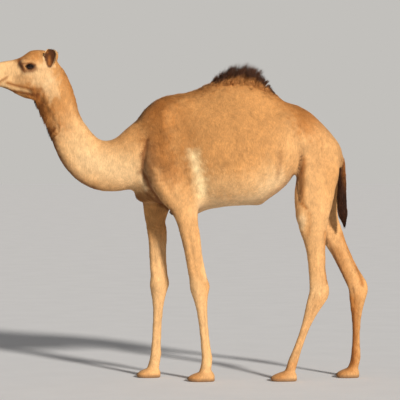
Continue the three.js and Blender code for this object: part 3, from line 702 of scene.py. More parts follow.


# Markings in the order they are laid on: colour, strength, shape. Each is one of
# ("path", [(x, z), ...], width, ragged) or ("blob", (x, |y|, z), radii, ragged).
# Some of these markings are painted shade and painted highlights, as noted at each.
MARKINGS = (
    (CREAM, 0.90, ("path", [(-0.70, 1.62), (-0.66, 1.54), (-0.57, 1.44), (-0.42, 1.41),
                            (-0.30, 1.40)], 0.13, 0.15)),
    (PALE, 0.50, ("path", [(-0.62, 1.44), (-0.45, 1.38), (-0.32, 1.34)], 0.08, 0.15)),
    (CREAM, 0.75, ("blob", (-1.12, 0.05, 2.02), (0.20, 0.2, 0.11), 0.1)),
    (PALE, 0.60, ("blob", (-0.90, 0.08, 2.00), (0.09, 0.2, 0.10), 0.2)),
    (LEG_TAN, 0.80, ("path", [(0.80, 1.55), (0.86, 1.2), (0.90, 0.75), (0.84, 0.4),
                              (0.74, 0.05)], 0.16, 0.0)),
    (LEG_TAN, 0.70, ("path", [(0.95, 1.1), (1.15, 0.65), (1.15, 0.08)], 0.12, 0.0)),
    (CREAM, 0.60, ("path", [(0.10, 0.62), (0.17, 0.35), (0.19, 0.10)], 0.09, 0.0)),
    (CREAM, 0.60, ("path", [(-0.13, 0.85), (-0.13, 0.60), (-0.15, 0.10)], 0.09, 0.0)),
    (CREAM, 0.45, ("path", [(0.90, 0.60), (0.82, 0.35), (0.75, 0.10)], 0.07, 0.0)),
    (CREAM, 0.45, ("path", [(0.18, 1.28), (0.42, 1.27), (0.60, 1.36)], 0.090, 0.3)),
    # Pale hair behind the shoulder, pushed brighter into a painted highlight along the back edge of
    # the shoulder and elbow.
    (PALE_HAIR_HIGHLIGHT, 0.95, ("path", [(0.092, 1.49), (0.118, 1.40), (0.150, 1.265), (0.172, 1.15)],
                     0.038, 0.30)),
    (CREAM, 0.80, ("path", [(0.17, 1.18), (0.26, 1.15)], 0.045, 0.3)),
    (PALE, 0.80, ("path", [(0.15, 1.13), (0.35, 1.15), (0.52, 1.20), (0.66, 1.32)], 0.060, 0.3)),
    # Painted highlight on the kneecap at the stifle, with painted shade in the creases over and
    # behind it.
    (PALE, 0.65, ("blob", (0.806, 0.16, 1.055), (0.030, 0.10, 0.065), 0.2)),
    (RUST, 0.60, ("path", [(0.785, 1.172), (0.812, 1.162), (0.840, 1.135)], 0.008, 0.2)),
    (RUST, 0.40, ("path", [(0.852, 1.110), (0.858, 1.040), (0.845, 0.960)], 0.012, 0.2)),
    (RUST, 0.64, ("blob", (0.90, 0.10, 1.70), (0.16, 0.2, 0.15), 0.3)),
    (RUST, 0.30, ("path", [(0.90, 0.52), (0.82, 0.32), (0.76, 0.14)], 0.045, 0.3)),
    (RUST, 0.20, ("blob", (-0.98, 0.05, 2.13), (0.09, 0.1, 0.05), 0.3)),
    (RUST, 0.30, ("blob", (-1.02, 0.08, 1.98), (0.08, 0.1, 0.04), 0.3)),
    # Painted shade on the breast, under the base of the neck.
    (UMBER, 0.60, ("blob", (-0.265, 0.06, 1.205), (0.060, 0.16, 0.055), 0.3)),
    (LEG_TAN, 0.70, ("path", [(-0.08, 1.34), (-0.02, 1.24), (0.06, 1.08), (0.12, 0.80)],
                     0.10, 0.2)),
    (LEG_TAN, 0.55, ("path", [(0.95, 1.62), (1.05, 1.50)], 0.12, 0.2)),
    (RUST, 0.62, ("path", [(-0.14, 1.84), (-0.13, 1.66), (-0.12, 1.50), (-0.06, 1.38)],
                  0.085, 0.5)),
    (RUST, 0.45, ("path", [(-0.20, 1.76), (-0.02, 1.89), (0.10, 1.92), (0.22, 1.97),
                           (0.40, 2.0), (0.60, 1.93), (0.75, 1.83), (0.90, 1.74)], 0.055, 0.5)),
    (RUST, 0.30, ("path", [(0.02, 1.76), (0.06, 1.55), (0.05, 1.38)], 0.07, 0.7)),
    (RUST, 0.35, ("path", [(0.70, 1.84), (0.80, 1.74), (0.84, 1.66)], 0.05, 0.5)),
    # Painted shade in the crease between neck and shoulder, along the sculpted groove.
    (UMBER, 0.80, ("path", [(-0.200, 1.60), (-0.232, 1.49), (-0.236, 1.38), (-0.215, 1.29)],
                   0.020, 0.5)),
    (UMBER, 0.50, ("path", [(-0.175, 1.55), (-0.195, 1.42), (-0.18, 1.33)], 0.030, 0.7)),
    # Painted shade in the brisket fold.
    (UMBER, 0.75, ("path", [(-0.215, 1.25), (-0.18, 1.20), (-0.13, 1.16)], 0.016, 0.5)),
    (RUST, 0.80, ("path", [(-0.938, 1.885), (-0.895, 1.790), (-0.865, 1.710), (-0.835, 1.650)],
                  0.042, 0.8)),
    (UMBER, 0.75, ("path", [(-0.930, 1.870), (-0.900, 1.770), (-0.880, 1.690)], 0.022, 1.0)),
    (UMBER, 0.80, ("blob", (-0.840, 0.03, 1.676), (0.026, 0.09, 0.013), 0.3)),
    (UMBER, 0.60, ("path", [(-0.910, 1.858), (-0.880, 1.846)], 0.010, 0.6)),
    # Darker hair along the lower edge of the neck, deepened with painted shade of its underside.
    (UMBER, 0.90, ("path", [(-0.866, 1.680), (-0.806, 1.486), (-0.746, 1.379), (-0.690, 1.325),
                            (-0.620, 1.277), (-0.545, 1.245)], 0.024, 0.35)),
    (PALE, 0.80, ("path", [(-0.250, 1.335), (-0.215, 1.260)], 0.016, 0.4)),
    # Painted shade in the furrow from the front of the shoulder down to the elbow.
    (UMBER, 0.85, ("path", [(-0.217, 1.350), (-0.176, 1.259), (-0.114, 1.160), (-0.045, 1.102)],
                   0.015, 0.4)),
    (RUST, 0.60, ("path", [(0.822, 1.46), (0.815, 1.36), (0.808, 1.18)], 0.016, 0.3)),
    # Painted shade: the deep shade in the fold between belly and thigh.
    (CHOCOLATE, 0.92, ("path", [(0.803, 1.48), (0.796, 1.43), (0.783, 1.37), (0.778, 1.30),
                                (0.784, 1.24), (0.792, 1.19)], 0.009, 0.2)),
    # Painted shade in the crease over the stifle.
    (RUST, 0.50, ("path", [(0.808, 1.165), (0.830, 1.140)], 0.012, 0.2)),
    # Painted shade in the groove before the Achilles tendon, down to the hock.
    (RUST, 0.60, ("path", [(0.962, 0.98), (0.966, 0.80), (0.974, 0.66)], 0.012, 0.2)),
    (UMBER, 0.45, ("path", [(0.966, 0.76), (0.974, 0.64)], 0.007, 0.2)),
    # Painted shade in the tendon groove of the right hind leg.
    (RUST, 0.60, ("path", [(1.085, 0.96), (1.165, 0.77), (1.203, 0.69), (1.222, 0.63)],
                   0.014, 0.2)),
    (UMBER, 0.32, ("path", [(1.180, 0.74), (1.205, 0.68), (1.222, 0.62)], 0.011, 0.3)),
    # Darker orange down the right hind cannon, partly hair colour and partly painted shade.
    (RUST, 0.90, ("path", [(1.150, 0.52), (1.160, 0.34), (1.150, 0.10)], 0.050, 0.3)),
    # Painted shade in the groove between tendon and bone of the right hind cannon.
    (UMBER, 0.65, ("path", [(1.162, 0.46), (1.168, 0.28), (1.160, 0.10)], 0.009, 0.3)),
    (RUST, 0.45, ("path", [(1.050, 0.84), (1.120, 0.64)], 0.045, 0.3)),
    # Painted shade down the shaded front edge of the right hind leg, above the hock.
    (UMBER, 0.55, ("path", [(0.990, 0.92), (1.060, 0.76), (1.106, 0.65), (1.124, 0.56)],
                    0.010, 0.3)),
    # Painted shade down the shaded front edge of the right hind cannon.
    (UMBER, 0.60, ("path", [(1.120, 0.56), (1.138, 0.40), (1.145, 0.26), (1.140, 0.12)],
                   0.014, 0.2)),
    (RUST, 0.55, ("path", [(0.66, 0.03), (0.72, 0.07), (0.76, 0.10)], 0.040, 0.3)),
    (RUST, 0.55, ("path", [(1.06, 0.03), (1.12, 0.07)], 0.040, 0.3)),
    (RUST, 0.35, ("path", [(0.07, 0.03), (0.14, 0.06)], 0.030, 0.3)),
    (RUST, 0.50, ("path", [(-0.755, 2.06), (-0.715, 1.95), (-0.675, 1.84), (-0.645, 1.76)],
                  0.024, 0.5)),
    (RUST, 0.34, ("path", [(-0.79, 1.80), (-0.73, 1.65)], 0.070, 0.3)),
    (PALE, 0.50, ("blob", (-0.835, 0.06, 1.925), (0.055, 0.10, 0.085), 0.3)),
    (RUST, 0.40, ("blob", (-0.975, 0.02, 2.150), (0.075, 0.07, 0.035), 0.5)),
    (RUST, 0.45, ("path", [(-1.075, 2.118), (-1.020, 2.140)], 0.022, 0.4)),
    (RUST, 0.85, ("path", [(-1.060, 2.128), (-1.044, 2.104)], 0.015, 0.4)),
    (UMBER, 0.85, ("path", [(-1.050, 2.100), (-1.036, 2.078), (-1.022, 2.058)], 0.018, 0.3)),
    (CHOCOLATE, 0.80, ("path", [(-1.042, 2.088), (-1.034, 2.074), (-1.028, 2.062)], 0.011, 0.3)),
    (UMBER, 0.75, ("path", [(-1.022, 2.046), (-1.010, 2.030)], 0.010, 0.3)),
    # Painted shade in the crease of the upper lid.
    (UMBER, 0.72, ("path", [(-1.034, 2.084), (-1.005, 2.083), (-0.965, 2.083), (-0.940, 2.074)],
                    0.009, 0.3)),
    # Dark lids, widened into painted shade round the eye under the lashes.
    (UMBER, 0.70, ("blob", (-0.972, 0.08, 2.061), (0.046, 0.06, 0.032), 0.25)),
    (NEAR_BLACK, 0.97, ("blob", (-0.970, 0.09, 2.063), (0.036, 0.06, 0.022), 0.10)),
    # Painted shade under the lower lid.
    (UMBER, 0.62, ("path", [(-1.016, 2.044), (-0.992, 2.032), (-0.958, 2.034), (-0.938, 2.047)],
                    0.014, 0.3)),
    (SAND, 0.70, ("path", [(-1.012, 2.070), (-1.003, 2.050)], 0.006, 0.2)),
    # Painted shade in the groove along the edge of the jaw bone.
    (RUST, 0.70, ("path", [(-1.126, 1.958), (-1.070, 1.942), (-1.010, 1.930), (-0.955, 1.922)],
                  0.016, 0.4)),
    (UMBER, 0.55, ("path", [(-1.123, 1.957), (-1.060, 1.938), (-1.000, 1.926), (-0.960, 1.918)],
                   0.007, 0.3)),
    (CREAM, 0.60, ("path", [(-1.160, 1.948), (-1.100, 1.928), (-1.040, 1.912), (-0.990, 1.906)],
                  0.010, 0.2)),
    # Painted shade along the lower edge of the jaw, on its shaded side.
    (UMBER, 0.85, ("path", [(-1.150, 1.921), (-1.080, 1.902), (-0.998, 1.888), (-0.937, 1.889)],
                    0.010, 0.3)),
    (RUST, 0.60, ("blob", (-1.0, 0.0, 1.865), (0.09, 0.1, 0.022), 0.4)),
    (RUST, 0.55, ("path", [(-1.240, 1.977), (-1.205, 1.962), (-1.178, 1.962), (-1.130, 1.995)],
                  0.009, 0.3)),
    (UMBER, 0.85, ("blob", (0.888, 0.08, 0.571), (0.020, 0.06, 0.022), 0.3)),
    # Painted shade down the shaded front edge of the left foreleg.
    (UMBER, 0.50, ("path", [(-0.050, 1.13), (-0.018, 1.03), (0.016, 0.93), (0.036, 0.86)],
                    0.011, 0.3)),
    (CREAM, 0.70, ("path", [(0.150, 1.08), (0.162, 0.90), (0.182, 0.68)], 0.018, 0.2)),
    (UMBER, 0.85, ("blob", (1.090, 0.0, 1.370), (0.040, 0.03, 0.090), 0.2)),
    (UMBER, 0.35, ("path", [(0.665, 1.50), (0.66, 1.42), (0.64, 1.33)], 0.016, 0.4)),
)
# Lines of the face in space, on both sides: colour, strength, path, width.
FACE_LINES = (
    (colour(176, 128, 96), 0.55, NOSTRIL, 0.0120),
    (colour(150, 100, 62), 0.65, MOUTH, 0.0100),
    (NEAR_BLACK, 0.95, NOSTRIL, 0.0060),
    (colour(60, 32, 20), 0.92, MOUTH, 0.0054),
    (UMBER, 0.60, PHILTRUM, 0.0040),
)
EAR_DARK = colour(78, 38, 14)
EAR_MIDDLE = -0.846     # x of the middle of each ear's hollow
EAR_FOOT = 2.050        # its lowest point
SOLE_LEVEL = 0.030
SOLE = colour(120, 92, 68)
FIRST_MARKING_SEED = 40


def patch(points, shape, seed):
    """1 inside a marking's shape, 0 away from it."""
    kind, *sizes = shape
    return (side_path if kind == "path" else blob)(points, *sizes, seed)


def marked(points, facing):
    """The coat's colour at each point of the skin, with its painted shade and painted highlights,
    as rows of red, green and blue.
    """
    shade = np.tile(SAND, (len(points), 1))
    for number, (tint, strength, shape) in enumerate(MARKINGS):
        mask = patch(points, shape, FIRST_MARKING_SEED + number)
        shade += (strength * mask)[:, None] * (tint - shade)
    for tint, strength, path, width in FACE_LINES:
        for line in mirrored(path):
            distance, _ = path_distance(points, line)
            shade += (strength * bell(distance, width))[:, None] * (tint - shade)
    # Broad, soft changes that no line gives.
    shade *= (1.0 + 0.05 * waves(points, 0.24, 7) + 0.05 * waves(points, 0.06, 8))[:, None]
    sole = smoothstep(SOLE_LEVEL, 0.012, points[:, 2])[:, None]
    shade += 0.7 * sole * (SOLE - shade)
    for side in SIDES:
        hollow, streak, rim = ear_shares(points, facing, side)
        shade += 0.95 * hollow[:, None] * (EAR_DARK - shade)
        shade += 0.75 * streak[:, None] * (RUST - shade)
        shade += 0.85 * rim[:, None] * (PALE - shade)
    return np.clip(shade, 0.0, 1.0)


def ear_shares(points, facing, side):
    """1 in the dark hollow of one ear, in the lighter hair in it, and along its rim."""
    low, high = box("ear_" + side)
    centre, half = (low + high) / 2, (high - low) / 2
    local = (points - centre) / half
    oval = np.linalg.norm(local[:, [0, 2]] * (1.0, 0.95), axis=1)
    inside = np.all(np.abs(local) < 1.12, axis=1) * smoothstep(2.050, 2.064, points[:, 2])
    opens = unit(np.array([-0.2, SIDES[side], 0.1]))
    inward = smoothstep(-0.05, 0.35, facing @ opens)
    rim = smoothstep(0.88, 0.98, oval) * smoothstep(2.09, 2.11, points[:, 2]) * inside
    # The hollow narrows downward to a point.
    off = points[:, 0] - EAR_MIDDLE
    half_width = 0.042 * np.clip((points[:, 2] - EAR_FOOT) / 0.09, 0.0, 1.0) ** 0.6
    shield = smoothstep(0.004, -0.004, np.abs(off) - half_width)
    streak = bell(off + 0.002, 0.009) * smoothstep(2.060, 2.080, points[:, 2])
    streak = streak * smoothstep(2.150, 2.120, points[:, 2])
    streak += 0.8 * bell(np.hypot(off + 0.016, points[:, 2] - 2.160), 0.012)
    hollow = inside * inward * shield * (1.0 - rim)
    return hollow, hollow * streak, np.maximum(rim, 0.6 * inside * inward * (1.0 - shield))


def store_colours(mesh, rows):
    """Keeps one colour for each of the mesh's points, for its material to read."""
    layer = mesh.color_attributes.new("coat_colour", "FLOAT_COLOR", "POINT")
    full = np.ones((len(rows), 4), dtype=np.float32)
    full[:, :3] = rows
    layer.data.foreach_set("color", full.ravel())


# ------------------------------------------------------------------ lie and length of the coat
# The way the hair lies, at (x, |y|, z), as (x, outward, z).
LIE = (
    ((-1.24, 0.03, 2.03), (0.6, 0.1, 0.5)), ((-1.15, 0.04, 2.08), (0.95, 0.1, 0.3)),
    ((-1.18, 0.04, 1.94), (0.9, 0.0, -0.3)), ((-1.05, 0.06, 2.00), (0.95, 0.0, -0.25)),
    ((-1.00, 0.02, 2.16), (0.9, 0.2, 0.2)), ((-0.92, 0.08, 1.97), (0.6, 0.0, -0.7)),
    ((-0.98, 0.08, 2.05), (0.9, 0.1, -0.2)), ((-0.88, 0.05, 2.16), (0.9, 0.4, -0.1)),
    ((-0.84, 0.09, 2.12), (-0.1, 0.3, 1.0)), ((-0.80, 0.06, 2.00), (0.3, 0.0, -0.95)),
    ((-0.94, 0.02, 1.86), (0.3, 0.0, -0.95)), ((-0.85, 0.03, 1.70), (0.3, 0.0, -0.95)),
    ((-0.76, 0.07, 1.78), (0.35, 0.0, -0.9)), ((-0.66, 0.08, 1.60), (0.55, 0.0, -0.8)),
    ((-0.66, 0.04, 1.42), (0.6, 0.0, -0.75)), ((-0.50, 0.09, 1.45), (0.85, 0.0, -0.45)),
    ((-0.45, 0.05, 1.28), (0.95, 0.0, -0.2)), ((-0.35, 0.10, 1.50), (0.8, 0.0, -0.55)),
    ((-0.25, 0.10, 1.24), (0.85, 0.0, -0.5)), ((-0.20, 0.12, 1.72), (0.6, 0.3, -0.75)),
    ((-0.12, 0.20, 1.50), (0.35, 0.0, -0.95)), ((0.00, 0.02, 1.90), (0.8, 0.3, -0.3)),
    ((0.02, 0.20, 1.65), (0.45, 0.1, -0.85)), ((0.05, 0.18, 1.30), (0.25, 0.0, -0.95)),
    ((0.20, 0.10, 1.90), (0.6, 0.5, -0.6)), ((0.25, 0.25, 1.60), (0.7, 0.1, -0.7)),
    ((0.30, 0.26, 1.35), (0.85, 0.0, -0.5)), ((0.35, 0.05, 1.16), (0.95, 0.0, 0.05)),
    ((0.40, 0.14, 1.92), (0.4, 0.5, -0.8)), ((0.50, 0.25, 1.60), (0.75, 0.0, -0.65)),
    ((0.55, 0.20, 1.30), (0.85, 0.0, 0.1)), ((0.62, 0.12, 1.88), (0.7, 0.4, -0.5)),
    ((0.70, 0.20, 1.55), (0.7, 0.0, -0.7)), ((0.80, 0.05, 1.80), (0.8, 0.3, -0.4)),
    ((0.85, 0.19, 1.50), (0.35, 0.0, -0.95)), ((1.02, 0.08, 1.58), (0.35, 0.2, -0.9)),
    ((0.85, 0.15, 1.15), (0.2, 0.0, -1.0)), ((0.90, 0.12, 0.70), (0.1, 0.0, -1.0)),
    ((1.05, 0.12, 0.90), (0.3, 0.0, -0.95)), ((0.83, 0.12, 0.40), (-0.3, 0.0, -0.95)),
    ((1.16, 0.12, 0.35), (0.0, 0.0, -1.0)), ((0.10, 0.15, 0.85), (0.15, 0.0, -1.0)),
    ((0.17, 0.13, 0.35), (0.08, 0.0, -1.0)), ((-0.14, 0.13, 0.70), (0.0, 0.0, -1.0)),
    ((-0.15, 0.13, 0.30), (0.0, 0.0, -1.0)), ((1.08, 0.0, 1.40), (0.05, 0.0, -1.0)),
)


def face_share(points):
    """1 on the face, 0 from the back of the jaw on."""
    return smoothstep(-0.86, -0.98, points[:, 0]) * smoothstep(1.80, 1.86, points[:, 2])


def lower_leg_share(points):
    """1 from the knees and hocks down, fading out towards the elbow and stifle."""
    return smoothstep(1.20, 0.70, points[:, 2])


def lie_of(points, facing):
    """Unit vectors along the skin, the way the hair lies at each point."""
    mirror = np.where(points[:, 1] < 0, -1.0, 1.0)
    folded = np.column_stack([points[:, 0], np.abs(points[:, 1]), points[:, 2]])
    total = np.zeros((len(points), 3))
    for place, way in LIE:
        away = np.linalg.norm(folded - np.array(place), axis=1)
        total += unit(np.array(way)) / (away[:, None] ** 3 + 1e-4)
    total[:, 1] *= mirror
    total = unit(total)
    total = unit(total - np.sum(total * facing, axis=1, keepdims=True) * facing)
    calm = 1.0 - 0.75 * lower_leg_share(points)
    turn = calm * (0.22 * waves(points, 0.10, 21) + 0.16 * waves(points, 0.035, 22))
    across = np.cross(facing, total)
    return unit(total * np.cos(turn)[:, None] + across * np.sin(turn)[:, None])


BODY_HAIR = 0.0115      # its length on the trunk
LESS_ON_FACE = 0.0060
LESS_ON_LEGS = 0.0045
LESS_ON_FEET = 0.004
EAR_HAIR = 0.010
BODY_SLOPE = 0.16
SLOPE_SEED = 31
LONG_SEED = 5
DEEPEST = 0.014         # the most that the skin lies inside the solids
# Where the coat is longer, with the hair's length there and how far it stands off.
LONG_PLACES = (
    (0.018, 0.20, ("blob", (0.30, 0.25, 1.62), (0.42, 0.40, 0.34), 0.15)),
    (0.040, 0.32, ("path", [(-0.930, 1.870), (-0.885, 1.760), (-0.845, 1.660)], 0.045, 0.3)),
    (0.018, 0.20, ("path", [(-0.76, 2.06), (-0.72, 1.95), (-0.66, 1.78), (-0.60, 1.65)],
                   0.025, 0.3)),
    (0.030, 0.26, ("path", [(-0.20, 1.74), (-0.14, 1.60), (-0.12, 1.46)], 0.095, 0.3)),
    (0.028, 0.26, ("path", [(-0.18, 1.80), (0.0, 1.90), (0.12, 1.93)], 0.060, 0.3)),
    (0.045, 0.40, ("path", [(0.16, 1.96), (0.30, 2.01), (0.44, 2.01), (0.62, 1.94)], 0.050, 0.3)),
    (0.024, 0.26, ("path", [(0.64, 1.90), (0.80, 1.80)], 0.050, 0.3)),
    (0.022, 0.25, ("path", [(-0.30, 1.24), (-0.20, 1.19), (-0.12, 1.15)], 0.040, 0.3)),
    (0.014, 0.35, ("path", [(-1.23, 1.930), (-1.17, 1.912), (-1.10, 1.892)], 0.016, 0.3)),
    (0.034, 0.30, ("path", [(1.075, 1.50), (1.095, 1.42), (1.10, 1.34)], 0.020, 0.0)),
)


def coat_at(points):
    """The hair's length at each point, and how far it stands off the skin as a slope."""
    face, legs = face_share(points), lower_leg_share(points)
    length = BODY_HAIR - LESS_ON_FACE * face - LESS_ON_LEGS * legs * (1.0 - face)
    length -= LESS_ON_FEET * smoothstep(0.10, 0.04, points[:, 2])
    slope = BODY_SLOPE + 0.02 * waves(points, 0.05, SLOPE_SEED) + 0.06 * face + 0.02 * legs
    ears = near_any(points, EARS, EAR_MARGIN)
    length += ears * (EAR_HAIR - length)
    for extra, rise, shape in LONG_PLACES:
        mask = patch(points, shape, LONG_SEED)
        mask = mask * (1.0 - ears)
        length += mask * np.maximum(extra - length, 0.0)
        slope += mask * np.maximum(rise - slope, 0.0)
    return length, slope


def coat_depth(points):
    """How far the skin lies inside the solids, whose faces are the coat's tips."""
    length, slope = coat_at(points)
    depth = np.minimum(length * slope * 1.25 + 0.0012, DEEPEST)
    return depth * smoothstep(0.0, 0.030, points[:, 2])


# ------------------------------------------------------------------ the skin
skin_mesh = even_skin()
smooth_out_facets(skin_mesh)
sculpt_head(skin_mesh)
tool = Sculptor(skin_mesh)
sculpt_body(tool)
sculpt_legs(tool)
tool.push(-coat_depth(tool.points))
tool.points[:, 2] = np.maximum(tool.points[:, 2], 0.0)
tool.refresh()
shade_smooth(skin_mesh)
skin = shown("skin", skin_mesh, "coat_body", *FLESH_NODES)


def unwrap(piece):
    """Unwraps a piece by its own shape, into a map named OFBake."""
    piece.data.uv_layers.new(name="OFBake")
    bpy.context.view_layer.objects.active = piece
    bpy.ops.object.select_all(action="DESELECT")
    piece.select_set(True)
    bpy.ops.object.mode_set(mode="EDIT")
    bpy.ops.mesh.select_all(action="SELECT")
    bpy.ops.uv.smart_project(angle_limit=math.radians(66), island_margin=0.002)
    bpy.ops.object.mode_set(mode="OBJECT")


unwrap(skin)
store_colours(skin_mesh, marked(tool.points, tool.normals))


# ------------------------------------------------------------------ materials
NOISE_ROUGHNESS = 0.55


class Shader:
    """A node material, with short calls for the few nodes that these need."""

    def __init__(self, name, roughness, **sockets):
        self.material = bpy.data.materials.new(name)
        self.material.use_nodes = True
        self.tree = self.material.node_tree
        self.surface = self.tree.nodes["Principled BSDF"]
        self.surface.inputs["Roughness"].default_value = roughness
        for socket, value in sockets.items():
            self.surface.inputs[socket.replace("_", " ")].default_value = value

    def node(self, kind, **settings):
        made = self.tree.nodes.new(kind)
        for key, value in settings.items():
            setattr(made, key, value)
        return made

    def wire(self, source, target):
        self.tree.links.new(source, target)

    def place(self, scale):
        """Object coordinates, stretched by scale."""
        spot = self.node("ShaderNodeTexCoord")
        stretch = self.node("ShaderNodeMapping")
        stretch.inputs["Scale"].default_value = scale
        self.wire(spot.outputs["Object"], stretch.inputs["Vector"])
        return stretch.outputs["Vector"]

    def noise(self, scale, detail=3.0, stretch=(1, 1, 1)):
        """Soft noise, fine where scale is large."""
        texture = self.node("ShaderNodeTexNoise")
        texture.inputs["Scale"].default_value = scale
        texture.inputs["Detail"].default_value = detail
        texture.inputs["Roughness"].default_value = NOISE_ROUGHNESS
        self.wire(self.place(stretch), texture.inputs["Vector"])
        return texture.outputs["Fac"]

    def span(self, value, low, high, start=0.3, end=0.7):
        """Maps a value from start..end to low..high."""
        change = self.node("ShaderNodeMapRange")
        for socket, number in zip(("From Min", "From Max", "To Min", "To Max"),
                                  (start, end, low, high)):
            change.inputs[socket].default_value = number
        self.wire(value, change.inputs["Value"])
        return change.outputs["Result"]

    def scaled(self, tint, amount):
        """A colour times a number."""
        product = self.node("ShaderNodeVectorMath", operation="SCALE")
        self.wire(tint, product.inputs[0])
        self.wire(amount, product.inputs["Scale"])
        return product.outputs["Vector"]

    def arithmetic(self, operation, one, other):
        """Two numbers put together, by ADD or MULTIPLY."""
        result = self.node("ShaderNodeMath", operation=operation)
        self.wire(one, result.inputs[0])
        self.wire(other, result.inputs[1])
        return result.outputs[0]

    def mix(self, amount, one, other):
        """Between two colours, given as sockets or rows of three."""
        blend = self.node("ShaderNodeMix", data_type="RGBA")
        self.wire(amount, blend.inputs["Factor"])
        for end, value in (("A", one), ("B", other)):
            socket = next(i for i in blend.inputs if i.name == end and i.type == "RGBA")
            if isinstance(value, bpy.types.NodeSocket):
                self.wire(value, socket)
            else:
                socket.default_value = (*value, 1.0)
        return next(o for o in blend.outputs if o.type == "RGBA")

    def bump(self, height, distance):
        """Relief, distance metres deep."""
        relief = self.node("ShaderNodeBump")
        relief.inputs["Distance"].default_value = distance
        relief.inputs["Strength"].default_value = 1.0
        self.wire(height, relief.inputs["Height"])
        self.wire(relief.outputs["Normal"], self.surface.inputs["Normal"])

    def paint(self, tint):
        self.wire(tint, self.surface.inputs["Base Color"])

    def stored_colour(self):
        return self.node("ShaderNodeVertexColor", layer_name="coat_colour").outputs["Color"]


def coat_material(name, relief, sheen):
    """Short hair: stored markings, broken up by streaks along the hair and soft clumps."""
    shader = Shader(name, 0.82, Sheen_Weight=sheen, Sheen_Roughness=0.45,
                    Sheen_Tint=(1.0, 0.86, 0.68, 1.0), Specular_IOR_Level=0.25)
    streaks = shader.noise(150.0, 4.0, (1.0, 1.0, 0.32))
    clumps = shader.noise(38.0, 3.0, (1.0, 1.0, 0.55))
    broad = shader.noise(9.0, 3.0)
    fine = shader.arithmetic("MULTIPLY", shader.span(streaks, 0.84, 1.14),
                             shader.span(clumps, 0.88, 1.10))
    amount = shader.arithmetic("MULTIPLY", fine, shader.span(broad, 0.93, 1.06))
    shader.paint(shader.scaled(shader.stored_colour(), amount))
    shader.wire(shader.span(clumps, 0.74, 0.90), shader.surface.inputs["Roughness"])
    shader.bump(shader.arithmetic("ADD", streaks, clumps), relief)
    return shader.material


skin_mesh.materials.clear()
skin_mesh.materials.append(coat_material("skin_coat", 0.0020, 0.12))
hair_material = coat_material("short_hair", 0.0005, 0.14)


# ------------------------------------------------------------------ tufts
class Roots:
    """Places on a mesh for hair to grow from, chosen with a seed."""

    def __init__(self, mesh):
        mesh.calc_loop_triangles()
        count = len(mesh.loop_triangles)
        corners = np.empty(count * 3, dtype=np.int32)
        mesh.loop_triangles.foreach_get("vertices", corners)
        loops = np.empty(count * 3, dtype=np.int32)
        mesh.loop_triangles.foreach_get("loops", loops)
        flat = np.empty(len(mesh.loops) * 2, dtype=np.float32)
        mesh.uv_layers["OFBake"].uv.foreach_get("vector", flat)
        self.corners = corners.reshape(-1, 3)
        self.unwrapped = flat.reshape(-1, 2)[loops].reshape(-1, 3, 2)
        self.points = coordinates(mesh)
        self.facing = normals(mesh)
        a, b, c = (self.points[self.corners[:, i]] for i in range(3))
        self.middles = (a + b + c) / 3
        self.areas = np.linalg.norm(np.cross(b - a, c - a), axis=1) / 2

    def choose(self, count, density, seed):
        """count roots, more of them where density says: places, normals and map places."""
        chance = np.random.default_rng(seed)
        weight = self.areas * np.maximum(density, 0.0)
        reached = np.cumsum(weight)
        chosen = np.searchsorted(reached, chance.uniform(0, reached[-1], count))
        chosen = np.minimum(chosen, len(weight) - 1)
        one, two = chance.uniform(size=(2, count))
        flip = one + two > 1.0
        one, two = np.where(flip, 1 - one, one), np.where(flip, 1 - two, two)
        shares = np.column_stack([1 - one - two, one, two])[:, :, None]
        corners = self.corners[chosen]
        places = np.sum(self.points[corners] * shares, axis=1)
        facing = unit(np.sum(self.facing[corners] * shares, axis=1))
        spots = np.sum(self.unwrapped[chosen] * shares, axis=1)
        return places, facing, np.clip(spots, 0.003, 0.997)


PATCH = 0.0015   # half of a tuft's patch on the unwrapped skin


def tuft_faces(rings):
    """The triangles of one tuft, its root, sides and tip, by the numbers of its points."""
    faces = [(0, 1, 2)]
    for ring in range(rings - 1):
        low, high = ring * 3, ring * 3 + 3
        for i in range(3):
            j = (i + 1) % 3
            faces += [(low + j, low + i, high + i), (low + j, high + i, high + j)]
    last = (rings - 1) * 3
    faces += [(last + (i + 1) % 3, last + i, last + 3) for i in range(3)]
    return np.array(faces)


def tuft_patch(rings):
    """A tuft's points on the map, where its sides lie apart and each point has its own height."""
    level = np.repeat(np.linspace(-1.0, 0.75, rings), 3)
    width = np.tile([1.0, -1.0, 0.1], rings)
    lift = np.tile([0.0, 0.05, 0.22], rings)
    return np.column_stack([np.append(width, 0.15), np.append(level + lift, 1.0)]) * PATCH


